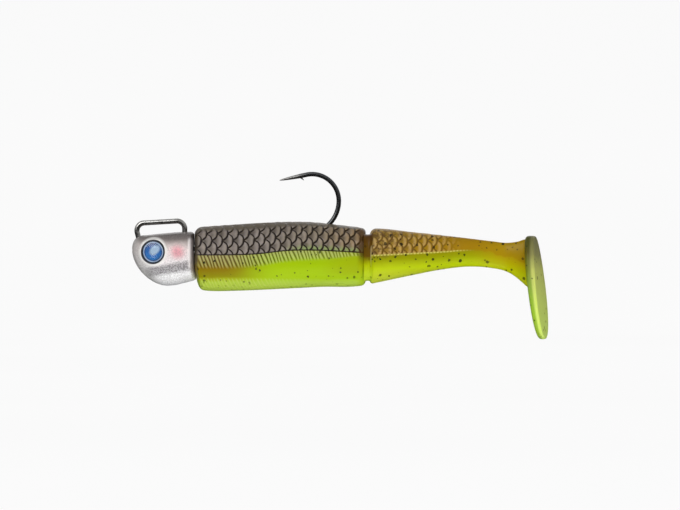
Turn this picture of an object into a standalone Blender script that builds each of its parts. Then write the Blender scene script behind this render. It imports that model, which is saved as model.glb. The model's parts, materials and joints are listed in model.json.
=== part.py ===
"""Jointed paddle-tail swimbait: a cast head on a wire line tie, a swinging hook and a soft body.

Lengths are in metres. +X runs towards the tail and +Z is up. The origin is the middle of the line
tie's top wire. The hook and the soft body swing on the line tie's rear leg, the tail bends at a web
in the bottom of a groove, and the paddle kicks on the thin end of the tail.
"""

from math import asin, atan2, cos, hypot, pi, radians, sin

import bmesh
import bpy
import numpy as np
from mathutils import Matrix, Vector

MM = 0.001
TOUCH_GAP = 0.3 * MM
CAST_GAP = 0.2 * MM
EYE_GAP = 0.1 * MM

# Joints: vertical axes on the centre plane.
SWING_X = 6.95 * MM
TAIL_JOINT_X = 59.75 * MM
KICK_X = 99.4 * MM
KICK_REST = radians(-16)

# Line tie.
TIE_WIRE = 0.65 * MM
TIE_SLOPE = 0.059
TIE_BEND = 2.2 * MM
TIE_FRONT_X = -7.41 * MM
TIE_FRONT_LEG = Vector((-0.241, 0, 0.970))
TIE_FRONT_LEG_LENGTH = 9.6 * MM
TIE_FOOT_X = 3.8 * MM
TIE_FOOT_Z = -14.8 * MM
TIE_FOOT_BEND = 1.3 * MM

# Head.
HEAD_NOSE = Vector((-8.16, 0, -8.2)) * MM
HEAD_REAR = 9.75 * MM
HEAD_HALF_WIDTH = 5.85 * MM
FACE_ROUND = 20.0 * MM
FACE_LEAN = 0.6 * MM
LEAN_START_Z = -12.0 * MM
LEAN_DEPTH = 4.5 * MM
LEAN_REACH = 4.0 * MM
POCKET_RADIUS = 2.6 * MM
POCKET_HEIGHT = 2.0 * MM
POCKET_SLOT = 4.0 * MM
POCKET_SLOT_LENGTH = 6.0 * MM
EYE_CENTRE = Vector((-1.9, 0, -8.66)) * MM
EYE_SOCKET_RADIUS = 3.45 * MM
EYE_SOCKET_FLOOR = 4.35 * MM
SOCKET_CUT = 4.0 * MM
EYE_TOE_IN = radians(8)
IRIS_RADIUS = 3.2 * MM
IRIS_THICK = 0.3 * MM
LENS_HEIGHT = 1.15 * MM
LENS_RIM = 0.25 * MM

# Hook.
HOOK_WIRE = 0.675 * MM
HOOK_EYE_Z = -7.8 * MM
HOOK_EYE_RADIUS = 1.55 * MM
HOOK_EYE_WIRE = 0.6 * MM
HOOK_NECK_X = 10.5 * MM
BEND_BACK_X = 51.4 * MM
BEND_Z = 6.1 * MM
LOWER_BEND = 9.5 * MM
UPPER_BEND = 7.7 * MM
POINT = Vector((34.3, 0, 12.0)) * MM
POINT_TAPER = 6.5 * MM
POINT_RADIUS = 0.06 * MM
BARB_ROOT = Vector((39.8, 0, 13.15)) * MM
BARB_TIP = Vector((41.3, 0, 12.05)) * MM
BARB_ROOT_RADIUS = 0.42 * MM
BARB_TIP_RADIUS = 0.05 * MM

# Keeper on the shank.
KEEPER_START = 14.0 * MM
KEEPER_LENGTH = 7.0 * MM
KEEPER_RADIUS = 1.9 * MM
KEEPER_WALL = 0.45 * MM

# Soft body.
BODY_FRONT = 10.25 * MM
JOINT_GAP = 1.2 * MM
WEB_RADIUS = 1.2 * MM
WEB_TOP = -3.6 * MM
WEB_BOTTOM = -17.0 * MM
NECK_HALF_WIDTH = 1.5 * MM
FRONT_WIDEST_Z = -10.5 * MM
FRONT_TOP_ROUND = 1.9 * MM
FRONT_BELLY_ROUND = 2.5 * MM
JOINT_SIDE_ROUND = 2.5 * MM
JOINT_TOP_ROUND = 1.7 * MM
JOINT_BELLY_ROUND = 1.3 * MM
TAIL_SIDE_ROUND = 1.4 * MM
TAIL_TOP_ROUND = 2.0 * MM
TAIL_BELLY_ROUND = 1.0 * MM
CUT_LOW = -21.0 * MM
CUT_HIGH = 1.0 * MM

# Paddle, in its own straight frame with the kick axis at zero.
PADDLE_TOP = -4.0 * MM
PADDLE_BOTTOM = -33.75 * MM
PADDLE_HALF_WIDTH = 7.3 * MM
PADDLE_EGG = 0.18
PADDLE_THICK = 2.0 * MM
PADDLE_BACK = 9.0 * MM
PADDLE_TILT = 0.102
PADDLE_TILT_FROM = 8.0 * MM
PADDLE_RIM = 0.45 * MM

SECTION_POINTS = 28


def clear_scene():
    """Remove every object that is already in the file."""
    for obj in list(bpy.data.objects):
        bpy.data.objects.remove(obj, do_unlink=True)


def new_collection(name):
    """Make a collection under the scene's own."""
    made = bpy.data.collections.new(name)
    bpy.context.scene.collection.children.link(made)
    return made


def finish(name, colour, roughness, metallic=0.0):
    """Principled material with one colour."""
    made = bpy.data.materials.new(name)
    made.use_nodes = True
    shader = made.node_tree.nodes["Principled BSDF"]
    shader.inputs["Base Color"].default_value = (*colour, 1.0)
    shader.inputs["Roughness"].default_value = roughness
    shader.inputs["Metallic"].default_value = metallic
    return made


def move_to(obj, target):
    """Put an object in one collection only."""
    for held in list(obj.users_collection):
        held.objects.unlink(obj)
    target.objects.link(obj)


def add_mesh(name, mesh, target, material=None):
    """New object from mesh data, shaded smooth with sharp edges kept."""
    obj = bpy.data.objects.new(name, mesh)
    target.objects.link(obj)
    if material:
        mesh.materials.clear()
        mesh.materials.append(material)
        mesh.shade_smooth()
        mesh.set_sharp_from_angle(angle=radians(40))
    return obj


def hide_cutter(obj, cutters):
    """Mark an object as a cutter or a joined operand, which is not a part."""
    move_to(obj, cutters)
    obj.hide_render = True
    obj.display_type = "WIRE"


def boolean(target, operand, operation="DIFFERENCE"):
    """Add an exact Boolean modifier."""
    step = target.modifiers.new(operand.name, "BOOLEAN")
    step.operation = operation
    step.solver = "EXACT"
    step.object = operand


def cylinder(name, radius, start, end, cutters, sides=32):
    """Cylinder from one point to another."""
    axis = end - start
    bpy.ops.mesh.primitive_cylinder_add(vertices=sides, radius=radius, depth=axis.length)
    obj = bpy.context.object
    obj.name = name
    obj.rotation_mode = "QUATERNION"
    obj.rotation_quaternion = axis.to_track_quat("Z", "Y")
    obj.location = (start + end) / 2
    hide_cutter(obj, cutters)
    return obj


def smooth_curve(points, x):
    """Cubic Hermite curve through (x, value) pairs, read at the array x."""
    px, value = np.array(points, float).T
    slope = np.gradient(value, px)
    i = np.clip(np.searchsorted(px, x) - 1, 0, len(px) - 2)
    width = px[i + 1] - px[i]
    t = np.clip((x - px[i]) / width, 0, 1)
    start = (1 + 2 * t) * (1 - t) ** 2 * value[i] + t * (1 - t) ** 2 * width * slope[i]
    end = t * t * (3 - 2 * t) * value[i + 1] + t * t * (t - 1) * width * slope[i + 1]
    return start + end


def quarter(distance, length, power):
    """Superellipse quarter: 0 at distance 0, rising to 1 at the given length."""
    left = np.clip(1 - np.asarray(distance) / length, 0, 1)
    return (1 - left**power) ** (1 / power)


def rounded_path(corners, radius, steps=5):
    """Polyline in the XZ plane whose inner corners are arcs of one radius."""
    path = [corners[0]]
    for before, here, after in zip(corners, corners[1:], corners[2:]):
        back = (before - here).normalized()
        on = (after - here).normalized()
        half = back.angle(on) / 2
        reach = radius / np.tan(half)
        centre = here + (back + on).normalized() * radius / sin(half)
        first = (here + back * reach - centre).normalized()
        last = (here + on * reach - centre).normalized()
        for step in range(steps + 1):
            path.append(centre + first.slerp(last, step / steps) * radius)
    return path + [corners[-1]]


def wire(name, points, radius, target, radii=None):
    """Round wire along a polyline, made a mesh with welded caps."""
    curve = bpy.data.curves.new(name, "CURVE")
    curve.dimensions = "3D"
    curve.bevel_depth = radius
    curve.bevel_resolution = 2
    curve.use_fill_caps = True
    spline = curve.splines.new("POLY")
    spline.points.add(len(points) - 1)
    for index, point in enumerate(points):
        spline.points[index].co = (*point, 1.0)
        spline.points[index].radius = 1.0 if radii is None else radii[index] / radius
    guide = bpy.data.objects.new(name + "_guide", curve)
    target.objects.link(guide)
    bpy.context.view_layer.update()
    evaluated = guide.evaluated_get(bpy.context.evaluated_depsgraph_get())
    mesh = bpy.data.meshes.new_from_object(evaluated)
    mesh.transform(guide.matrix_world)
    bpy.data.objects.remove(guide, do_unlink=True)
    shape = bmesh.new()
    shape.from_mesh(mesh)
    bmesh.ops.remove_doubles(shape, verts=shape.verts, dist=1e-6)
    bmesh.ops.recalc_face_normals(shape, faces=shape.faces)
    shape.to_mesh(mesh)
    shape.free()
    mesh.name = name
    return mesh


def loft(name, x, half_width, top, bottom, widest, power=2.3, lean=None):
    """Closed skin through cross-sections across X.

    Each section is two half superellipses, above and below the height where it is widest. lean
    moves a point along X by an amount that depends on its section and its height.
    """
    count = len(x)
    turn = np.linspace(0, 2 * pi, SECTION_POINTS, endpoint=False)
    across = np.sign(np.cos(turn)) * np.abs(np.cos(turn)) ** (2 / power)
    up = np.sign(np.sin(turn)) * np.abs(np.sin(turn)) ** (2 / power)
    x, half_width, top, bottom, widest = np.broadcast_arrays(x, half_width, top, bottom, widest)
    above = (top - widest)[:, None] * np.clip(up, 0, None)
    below = (widest - bottom)[:, None] * np.clip(up, None, 0)
    grid = np.empty((count, SECTION_POINTS, 3))
    grid[..., 1] = half_width[:, None] * across
    grid[..., 2] = widest[:, None] + above + below
    grid[..., 0] = x[:, None]
    if lean is not None:
        grid[..., 0] += lean(x[:, None], grid[..., 2])
    faces = [tuple(range(SECTION_POINTS))]
    for ring in range(count - 1):
        for k in range(SECTION_POINTS):
            here = ring * SECTION_POINTS + k
            beside = ring * SECTION_POINTS + (k + 1) % SECTION_POINTS
            faces.append((here, here + SECTION_POINTS, beside + SECTION_POINTS, beside))
    last = (count - 1) * SECTION_POINTS
    faces.append(tuple(range(last + SECTION_POINTS - 1, last - 1, -1)))
    mesh = bpy.data.meshes.new(name)
    mesh.from_pydata(grid.reshape(-1, 3).tolist(), [], faces)
    shape = bmesh.new()
    shape.from_mesh(mesh)
    bmesh.ops.recalc_face_normals(shape, faces=shape.faces)
    shape.to_mesh(mesh)
    shape.free()
    return mesh


def face_lean(x, z):
    """The facing ends of head and body run back towards the belly, most near the face itself."""
    depth = np.clip((LEAN_START_Z - z) / LEAN_DEPTH, 0, 1.3)
    near = np.clip(1 - np.abs(x - HEAD_REAR) / LEAN_REACH, 0, 1)
    return FACE_LEAN * depth**1.5 * near


def tie_path(extra=0.0):
    """Centreline of the line tie: front foot, long top run, rear leg and its short foot."""
    front_corner = Vector((TIE_FRONT_X, 0, TIE_FRONT_X * TIE_SLOPE))
    front_end = front_corner - TIE_FRONT_LEG * (TIE_FRONT_LEG_LENGTH + extra)
    rear_corner = Vector((SWING_X, 0, SWING_X * TIE_SLOPE))
    rear_bottom = Vector((SWING_X, 0, TIE_FOOT_Z))
    foot_end = Vector((TIE_FOOT_X - extra, 0, TIE_FOOT_Z))
    upper = rounded_path([front_end, front_corner, rear_corner, rear_bottom], TIE_BEND)
    lower = rounded_path([rear_corner, rear_bottom, foot_end], TIE_FOOT_BEND)
    return upper[:-1] + lower[1:]


def line_tie_bail(target, material):
    """The bent wire that the line is tied to."""
    mesh = wire("line_tie_bail", tie_path(), TIE_WIRE, target)
    return add_mesh("line_tie_bail", mesh, target, material)


def eye_frame(side):
    """Centre line of one eye: a point on the centre plane and the way it faces."""
    return EYE_CENTRE, Vector((-sin(EYE_TOE_IN), side * cos(EYE_TOE_IN), 0))


def head_casting(target, cutters, material):
    """Cast head with its eye sockets, the wire's holes and the pocket for the hook's eye."""
    nose = HEAD_NOSE.x + 9.2 * MM * (1 - np.cos(np.radians([3, 11, 20, 30, 40, 50, 61, 72, 84])))
    rear = np.array([3.2, 5.2, 7.0, 7.9, 8.6, 9.1, 9.45, 9.65, 9.74]) * MM
    x = np.concatenate([nose, rear])
    along = x - HEAD_NOSE.x
    chin = quarter(along, 9.96 * MM, 1.75)
    brow = quarter(along, 4.2 * MM, 2.6)
    crown = smooth_curve([(-4, -3.87), (1.2, -3.32), (7.67, -2.86), (9.75, -2.8)], x / MM) * MM
    keel = smooth_curve([(1.8, -18.32), (4.2, -18.15), (7, -17.45), (9.75, -16.7)], x / MM) * MM
    corner = quarter(HEAD_REAR + 0.02 * MM - x, 1.1 * MM, 2.0)
    top = HEAD_NOSE.z + (crown - HEAD_NOSE.z) * brow - 1.1 * MM * (1 - corner)
    bottom = HEAD_NOSE.z + (keel - HEAD_NOSE.z) * chin + 0.5 * MM * (1 - corner)
    widest = HEAD_NOSE.z - 1.4 * MM * quarter(along, 8 * MM, 2.0)
    side = HEAD_HALF_WIDTH * quarter(along, 9.2 * MM, 2.4)
    face = np.sqrt(FACE_ROUND**2 - np.clip(x - HEAD_REAR + FACE_ROUND, 0, FACE_ROUND) ** 2)
    mesh = loft("head_casting", x, np.minimum(side, face), top, bottom, widest, lean=face_lean)
    head = add_mesh("head_casting", mesh, target, material)
    hole = wire("tie_hole", tie_path(CAST_GAP), TIE_WIRE + CAST_GAP, cutters)
    tie_hole = add_mesh("tie_hole", hole, cutters)
    hide_cutter(tie_hole, cutters)
    boolean(head, tie_hole)
    for name, side_sign in (("left", -1), ("right", 1)):
        centre, facing = eye_frame(side_sign)
        floor = centre + facing * EYE_SOCKET_FLOOR
        outside = floor + facing * SOCKET_CUT
        boolean(head, cylinder(name + "_socket", EYE_SOCKET_RADIUS, floor, outside, cutters))
    middle = Vector((SWING_X, 0, HOOK_EYE_Z))
    half = Vector((0, 0, POCKET_HEIGHT / 2))
    boolean(head, cylinder("eye_pocket", POCKET_RADIUS, middle - half, middle + half, cutters))
    bpy.ops.mesh.primitive_cube_add(size=1, location=middle + Vector((POCKET_SLOT_LENGTH / 2, 0, 0)))
    slot = bpy.context.object
    slot.name = "shank_slot"
    slot.scale = (POCKET_SLOT_LENGTH, POCKET_SLOT, POCKET_HEIGHT)
    hide_cutter(slot, cutters)
    boolean(head, slot)
    return head


def turned(name, profile, target, material, steps=24):
    """Solid of revolution about local Z from (radius, height) points, outer side first, top to bottom."""
    mesh = bpy.data.meshes.new(name)
    edges = [(i, i + 1) for i in range(len(profile) - 1)]
    mesh.from_pydata([(radius, 0, height) for radius, height in profile], edges, [])
    obj = add_mesh(name, mesh, target, material)
    screw = obj.modifiers.new("turn", "SCREW")
    screw.steps = steps
    screw.render_steps = steps
    screw.use_merge_vertices = True
    screw.merge_threshold = 0.00001
    return obj


def eye(name, side, target, iris_finish, lens_finish):
    """Foil disc and domed lens in one eye socket."""
    centre, facing = eye_frame(side)
    turn = facing.to_track_quat("Z", "Y")
    back = EYE_SOCKET_FLOOR + EYE_GAP
    disc = [(0, IRIS_THICK), (IRIS_RADIUS, IRIS_THICK), (IRIS_RADIUS, 0), (0, 0)]
    iris = turned(name + "_iris_disc", disc, target, iris_finish)
    angles = np.radians([90, 65, 42, 20, 0])
    dome = [(IRIS_RADIUS * cos(a), LENS_RIM + (LENS_HEIGHT - LENS_RIM) * sin(a)) for a in angles]
    profile = [(0, LENS_HEIGHT), *dome[1:], (IRIS_RADIUS, 0), (0, 0)]
    lens = turned(name + "_eye_lens", profile, target, lens_finish)
    for piece, offset in ((iris, back), (lens, back + IRIS_THICK + EYE_GAP)):
        piece.rotation_mode = "QUATERNION"
        piece.rotation_quaternion = turn
        piece.location = centre + facing * offset
    return iris, lens


def shank_line():
    """Neck point of the shank, its slope, and the angle where it runs into the lower bend."""
    neck = Vector((HOOK_NECK_X, 0, HOOK_EYE_Z))
    centre = Vector((BEND_BACK_X - LOWER_BEND, 0, BEND_Z))
    reach = centre - neck
    slope = atan2(reach.z, reach.x) - asin(LOWER_BEND / hypot(reach.x, reach.z))
    return neck, centre, slope


def hook_path():
    """Centreline of the hook from its eye, along the shank and round the bend to the point."""
    neck, low, slope = shank_line()
    high = Vector((BEND_BACK_X - UPPER_BEND, 0, BEND_Z))
    reach = high - POINT
    tip_slope = atan2(reach.z, reach.x) + asin(UPPER_BEND / hypot(reach.x, reach.z))
    path = [Vector((SWING_X + HOOK_EYE_RADIUS, 0, HOOK_EYE_Z)), neck]
    path += [low + Vector((cos(a), 0, sin(a))) * LOWER_BEND for a in np.linspace(slope - pi / 2, 0, 12)]
    over = np.linspace(0, pi / 2 + tip_slope, 13)[1:]
    path += [high + Vector((cos(a), 0, sin(a))) * UPPER_BEND for a in over]
    start = path[-1]
    path += [start.lerp(POINT, t) for t in (0.25, 0.5, 0.7, 0.85, 0.95, 1.0)]
    return path


def hook(target, cutters, material):
    """Barbed hook with a ring eye that turns on the line tie's rear leg."""
    path = hook_path()
    left = [(point - POINT).length if index > 14 else POINT_TAPER for index, point in enumerate(path)]
    radii = [max(POINT_RADIUS, HOOK_WIRE * min(1, s / POINT_TAPER) ** 0.5) for s in left]
    bent = add_mesh("hook", wire("hook", path, HOOK_WIRE, target, radii), target, material)
    bpy.ops.mesh.primitive_torus_add(
        major_radius=HOOK_EYE_RADIUS,
        minor_radius=HOOK_EYE_WIRE,
        major_segments=24,
        minor_segments=10,
        location=(SWING_X, 0, HOOK_EYE_Z),
    )
    ring = bpy.context.object
    ring.name = "hook_eye_ring"
    hide_cutter(ring, cutters)
    boolean(bent, ring, "UNION")
    spike = BARB_TIP - BARB_ROOT
    bpy.ops.mesh.primitive_cone_add(
        vertices=8, radius1=BARB_ROOT_RADIUS, radius2=BARB_TIP_RADIUS, depth=spike.length
    )
    barb = bpy.context.object
    barb.name = "hook_barb"
    barb.rotation_mode = "QUATERNION"
    barb.rotation_quaternion = spike.to_track_quat("Z", "Y")
    barb.location = (BARB_ROOT + BARB_TIP) / 2
    hide_cutter(barb, cutters)
    boolean(bent, barb, "UNION")
    return bent


def shank_point(x):
    """Point on the straight shank at a given X, and the shank's direction."""
    neck, _, slope = shank_line()
    along = Vector((cos(slope), 0, sin(slope)))
    return neck + along * ((x - neck.x) / along.x), along


def bait_keeper(target, material):
    """Barbed sleeve on the shank that holds the soft body."""
    bore = HOOK_WIRE + CAST_GAP
    sleeve = bore + KEEPER_WALL
    barb = KEEPER_LENGTH / 2
    profile = []
    for turn in (1, 0):
        foot = turn * barb
        profile += [(sleeve, foot + barb * 0.98), (KEEPER_RADIUS, foot + barb * 0.08), (sleeve, foot)]
    profile += [(bore, 0), (bore, KEEPER_LENGTH * 0.99), (sleeve, KEEPER_LENGTH * 0.99)]
    keeper = turned("bait_keeper", profile, target, material, steps=16)
    start, along = shank_point(KEEPER_START)
    keeper.rotation_mode = "QUATERNION"
    keeper.rotation_quaternion = (-along).to_track_quat("Z", "Y")
    keeper.location = start + along * KEEPER_LENGTH
    return keeper


def body_widths(x):
    """Half width of the whole soft body seen from above, without its ends."""
    front = [(10, 6.75), (18, 7.2), (30, 7.3), (44, 6.9), (59, 6.35)]
    rear = [(66, 5.9), (74, 4.8), (84, 3.0), (93, 1.7), (98, 1.5), (101, 1.5)]
    return smooth_curve(front + rear, x / MM) * MM


def body_top(x):
    """Height of the back."""
    front = [(10.2, -1.7), (15, -1.25), (22, -0.7), (29, -0.25), (37, -0.05), (44, -0.2)]
    rear = [(51, -0.95), (59, -1.8), (63.5, -1.9), (74, -3.1), (87, -4.5), (96, -5.6)]
    return smooth_curve([*front, *rear, (100, -5.95), (103, -5.8)], x / MM) * MM


def body_bottom(x):
    """Height of the belly."""
    front = [(10.2, -19.6), (15, -19.95), (22, -19.85), (37, -19.2), (46, -18.75), (58, -18.4)]
    rear = [(62, -17.6), (72, -15.5), (81, -13.75), (89, -12.9), (95, -13.25), (99.7, -14.3), (103, -16.2)]
    return smooth_curve(front + rear, x / MM) * MM


def end_round(x, face, side_radius, direction):
    """Distance lost on each side near an end face that is rounded with a given radius."""
    inside = (x - face) * direction
    return side_radius * (1 - quarter(inside, side_radius, 2.0))


def hang(piece, pivot):
    """Tie a piece to the empty on its joint's axis, without moving it."""
    piece.location -= pivot.matrix_world.translation
    piece.parent = pivot


def front_body(target, cutters, material):
    """Front of the soft body, with the hook's channel, the keeper's seat and the web's groove."""
    rear = TAIL_JOINT_X - JOINT_GAP / 2
    front_steps = BODY_FRONT + np.array([0.01, 0.12, 0.4, 0.85, 1.4, 2.2, 3.6]) * MM
    middle = np.linspace(18, 53, 7) * MM
    rear_steps = rear - np.array([2.8, 1.9, 1.1, 0.5, 0.15, 0.01]) * MM
    x = np.concatenate([front_steps, middle, rear_steps])
    face = np.sqrt(FACE_ROUND**2 - np.clip(BODY_FRONT + FACE_ROUND - x, 0, FACE_ROUND) ** 2)
    width = np.minimum(body_widths(x), face) - end_round(x, rear, JOINT_SIDE_ROUND, -1)
    top = body_top(x) - end_round(x, BODY_FRONT, FRONT_TOP_ROUND, 1)
    top -= end_round(x, rear, JOINT_TOP_ROUND, -1)
    bottom = body_bottom(x) + end_round(x, BODY_FRONT, FRONT_BELLY_ROUND, 1)
    bottom += end_round(x, rear, JOINT_BELLY_ROUND, -1)
    mesh = loft("front_body", x, width, top, bottom, FRONT_WIDEST_Z, lean=face_lean)
    body = add_mesh("front_body", mesh, target, material)
    path = hook_path()[:18]
    path[0] = path[0].lerp(path[1], 0.4)
    bore = wire("hook_channel", path, HOOK_WIRE + TOUCH_GAP, cutters)
    channel = add_mesh("hook_channel", bore, cutters)
    hide_cutter(channel, cutters)
    boolean(body, channel)
    start, along = shank_point(KEEPER_START)
    seat_start = start - along * TOUCH_GAP
    seat_end = start + along * (KEEPER_LENGTH + TOUCH_GAP)
    seat_radius = KEEPER_RADIUS + TOUCH_GAP
    boolean(body, cylinder("keeper_seat", seat_radius, seat_start, seat_end, cutters, sides=20))
    boolean(body, web_groove(cutters))
    return body


def web_groove(cutters):
    """Upright cutter round the joint web."""
    low = Vector((TAIL_JOINT_X, 0, CUT_LOW))
    high = Vector((TAIL_JOINT_X, 0, CUT_HIGH))
    return cylinder("web_groove", WEB_RADIUS + TOUCH_GAP, low, high, cutters, sides=24)


def joint_web(target, material):
    """Thin upright web that the tail bends on."""
    profile = [(0, WEB_TOP), (WEB_RADIUS, WEB_TOP), (WEB_RADIUS, WEB_BOTTOM), (0, WEB_BOTTOM)]
    web = turned("joint_web", profile, target, material)
    web.location = (TAIL_JOINT_X, 0, 0)
    return web


def tail_section(target, cutters, material):
    """Tapering tail from the joint to the thin, round-edged neck that the paddle kicks on."""
    front = TAIL_JOINT_X + JOINT_GAP / 2
    start = front + np.array([0.01, 0.2, 0.6, 1.2, 2.0]) * MM
    middle = np.linspace(66, 96, 9) * MM
    neck = KICK_X + NECK_HALF_WIDTH * np.sin(np.radians([-60, 0, 25, 45, 62, 78, 88]))
    x = np.concatenate([start, middle, neck])
    past = np.clip(x - KICK_X, 0, NECK_HALF_WIDTH)
    width = body_widths(x) - end_round(x, front, TAIL_SIDE_ROUND, 1)
    width = np.where(past > 0, np.sqrt(NECK_HALF_WIDTH**2 - past**2), width)
    top = body_top(x) - end_round(x, front, TAIL_TOP_ROUND, 1)
    bottom = body_bottom(x) + end_round(x, front, TAIL_BELLY_ROUND, 1)
    widest = smooth_curve([(59, -10.0), (75, -9.2), (90, -8.9), (101, -10.0)], x / MM) * MM
    tail = add_mesh("tail_section", loft("tail_section", x, width, top, bottom, widest), target, material)
    boolean(tail, web_groove(cutters))
    return tail


def paddle_outline():
    """Egg outline of the paddle, narrow end up, as points across and up."""
    middle = (PADDLE_TOP + PADDLE_BOTTOM) / 2
    half = (PADDLE_TOP - PADDLE_BOTTOM) / 2
    turns = np.linspace(0, 2 * pi, 32, endpoint=False)
    across = PADDLE_HALF_WIDTH * np.sin(turns) * (1 - PADDLE_EGG * np.cos(turns))
    return across, middle + half * np.cos(turns)


def paddle_disc(target):
    """Flat egg-shaped plate with rounded rims, standing across the tail and tipped back."""
    curve = bpy.data.curves.new("paddle_disc", "CURVE")
    curve.dimensions = "2D"
    curve.fill_mode = "BOTH"
    curve.extrude = PADDLE_THICK / 2
    across, up = paddle_outline()
    spline = curve.splines.new("POLY")
    spline.points.add(len(across) - 1)
    for point, y, z in zip(spline.points, across, up):
        point.co = (y, z, 0, 1)
    spline.use_cyclic_u = True
    guide = bpy.data.objects.new("paddle_guide", curve)
    target.objects.link(guide)
    bpy.context.view_layer.update()
    evaluated = guide.evaluated_get(bpy.context.evaluated_depsgraph_get())
    mesh = bpy.data.meshes.new_from_object(evaluated)
    bpy.data.objects.remove(guide, do_unlink=True)
    stand = Matrix(((0, -PADDLE_TILT, 1, 0), (1, 0, 0, 0), (0, 1, 0, 0), (0, 0, 0, 1)))
    back = PADDLE_BACK - PADDLE_THICK / 2 - PADDLE_TILT_FROM * PADDLE_TILT
    mesh.transform(Matrix.Translation((back, 0, 0)) @ stand)
    shape = bmesh.new()
    shape.from_mesh(mesh)
    bmesh.ops.remove_doubles(shape, verts=shape.verts, dist=1e-6)
    bmesh.ops.dissolve_limit(shape, angle_limit=radians(1), verts=shape.verts, edges=shape.edges)
    bmesh.ops.recalc_face_normals(shape, faces=shape.faces)
    shape.to_mesh(mesh)
    shape.free()
    return mesh


def paddle_tail(target, cutters, material):
    """Paddle and its stem in a straight frame, with the stem hollowed to turn round the neck."""
    plate = add_mesh("paddle_tail", paddle_disc(target), target, material)
    edge = plate.modifiers.new("rim", "BEVEL")
    edge.width = PADDLE_RIM
    edge.segments = 2
    edge.limit_method = "ANGLE"
    edge.angle_limit = radians(50)
    x = np.array([0.9, 2.0, 3.2, 4.4, 5.6, 6.8, 7.8]) * MM
    top = smooth_curve([(0.3, -6.0), (2.1, -5.9), (4.0, -5.6), (5.7, -5.15), (8, -4.9)], x / MM) * MM
    bottom = smooth_curve([(0.3, -14.3), (2.1, -15.2), (4, -16.6), (5.7, -18.3), (8, -20.6)], x / MM) * MM
    width = smooth_curve([(0.5, 1.5), (5, 1.55), (8, 2.0)], x / MM) * MM
    stem = add_mesh("paddle_stem", loft("paddle_stem", x, width, top, bottom, (top + bottom) / 2), cutters)
    hide_cutter(stem, cutters)
    boolean(plate, stem, "UNION")
    hollow = cylinder(
        "kick_hollow",
        NECK_HALF_WIDTH + TOUCH_GAP,
        Vector((0, 0, CUT_LOW)),
        Vector((0, 0, CUT_HIGH)),
        cutters,
        sides=24,
    )
    boolean(plate, hollow)
    return plate, [stem, hollow]


def pivot_empty(name, x, target, parent=None):
    """Empty on a joint's axis."""
    empty = bpy.data.objects.new(name, None)
    empty.empty_display_size = 4 * MM
    target.objects.link(empty)
    empty.location = (x, 0, 0)
    if parent:
        empty.parent = parent
        empty.location = (x - parent.matrix_world.translation.x, 0, 0)
    bpy.context.view_layer.update()
    return empty


def main():
    """Build every piece and tie the moving ones to their joints."""
    clear_scene()
    parts = new_collection("swimbait")
    cutters = new_collection("cutters")
    silver = finish("cast_silver", (0.62, 0.60, 0.58), 0.35, 1.0)
    steel = finish("stainless_wire", (0.75, 0.74, 0.72), 0.15, 1.0)
    black_nickel = finish("black_nickel", (0.05, 0.05, 0.055), 0.25, 1.0)
    foil = finish("blue_foil", (0.03, 0.16, 0.45), 0.3)
    resin = finish("clear_resin", (0.8, 0.88, 0.95), 0.05)
    moulded = finish("keeper_plastic", (0.12, 0.12, 0.12), 0.5)
    soft_front = finish("soft_plastic_front", (0.30, 0.36, 0.06), 0.3)
    soft_web = finish("soft_plastic_web", (0.45, 0.50, 0.05), 0.3)
    soft_tail = finish("soft_plastic_tail", (0.50, 0.52, 0.08), 0.3)
    soft_paddle = finish("soft_plastic_paddle", (0.45, 0.55, 0.15), 0.3)

    swing = pivot_empty("head_swing_axis", SWING_X, parts)
    bend = pivot_empty("tail_joint_axis", TAIL_JOINT_X, parts, swing)
    kick = pivot_empty("paddle_kick_axis", KICK_X, parts, bend)

    head_casting(parts, cutters, silver)
    line_tie_bail(parts, steel)
    eye("left", -1, parts, foil, resin)
    eye("right", 1, parts, foil, resin)
    swinging = [hook(parts, cutters, black_nickel), bait_keeper(parts, moulded)]
    swinging.append(front_body(parts, cutters, soft_front))
    bending = [joint_web(parts, soft_web), tail_section(parts, cutters, soft_tail)]
    bpy.context.view_layer.update()
    for piece in swinging:
        hang(piece, swing)
    for piece in bending:
        hang(piece, bend)

    paddle, operands = paddle_tail(parts, cutters, soft_paddle)
    for piece in (paddle, *operands):
        piece.parent = kick
    kick.rotation_euler = (0, 0, KICK_REST)


main()
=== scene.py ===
"""Visual model of a jointed paddle-tail swimbait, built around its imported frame.

The head is a cast and painted jig with a wire line tie and two domed eyes. A black hook swings on the
line tie's rear leg. The soft body is translucent plastic with moulded scales, ribs and pepper flakes,
a grooved joint and a paddle that kicks on the thin end of the tail.

Shapes are worked out in millimetres, in the frame's own axes, and written to the meshes in metres.
"""

import json
import logging
from abc import ABC, abstractmethod
from dataclasses import dataclass, field
from enum import Enum
from typing import Any, Callable, Sequence

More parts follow.
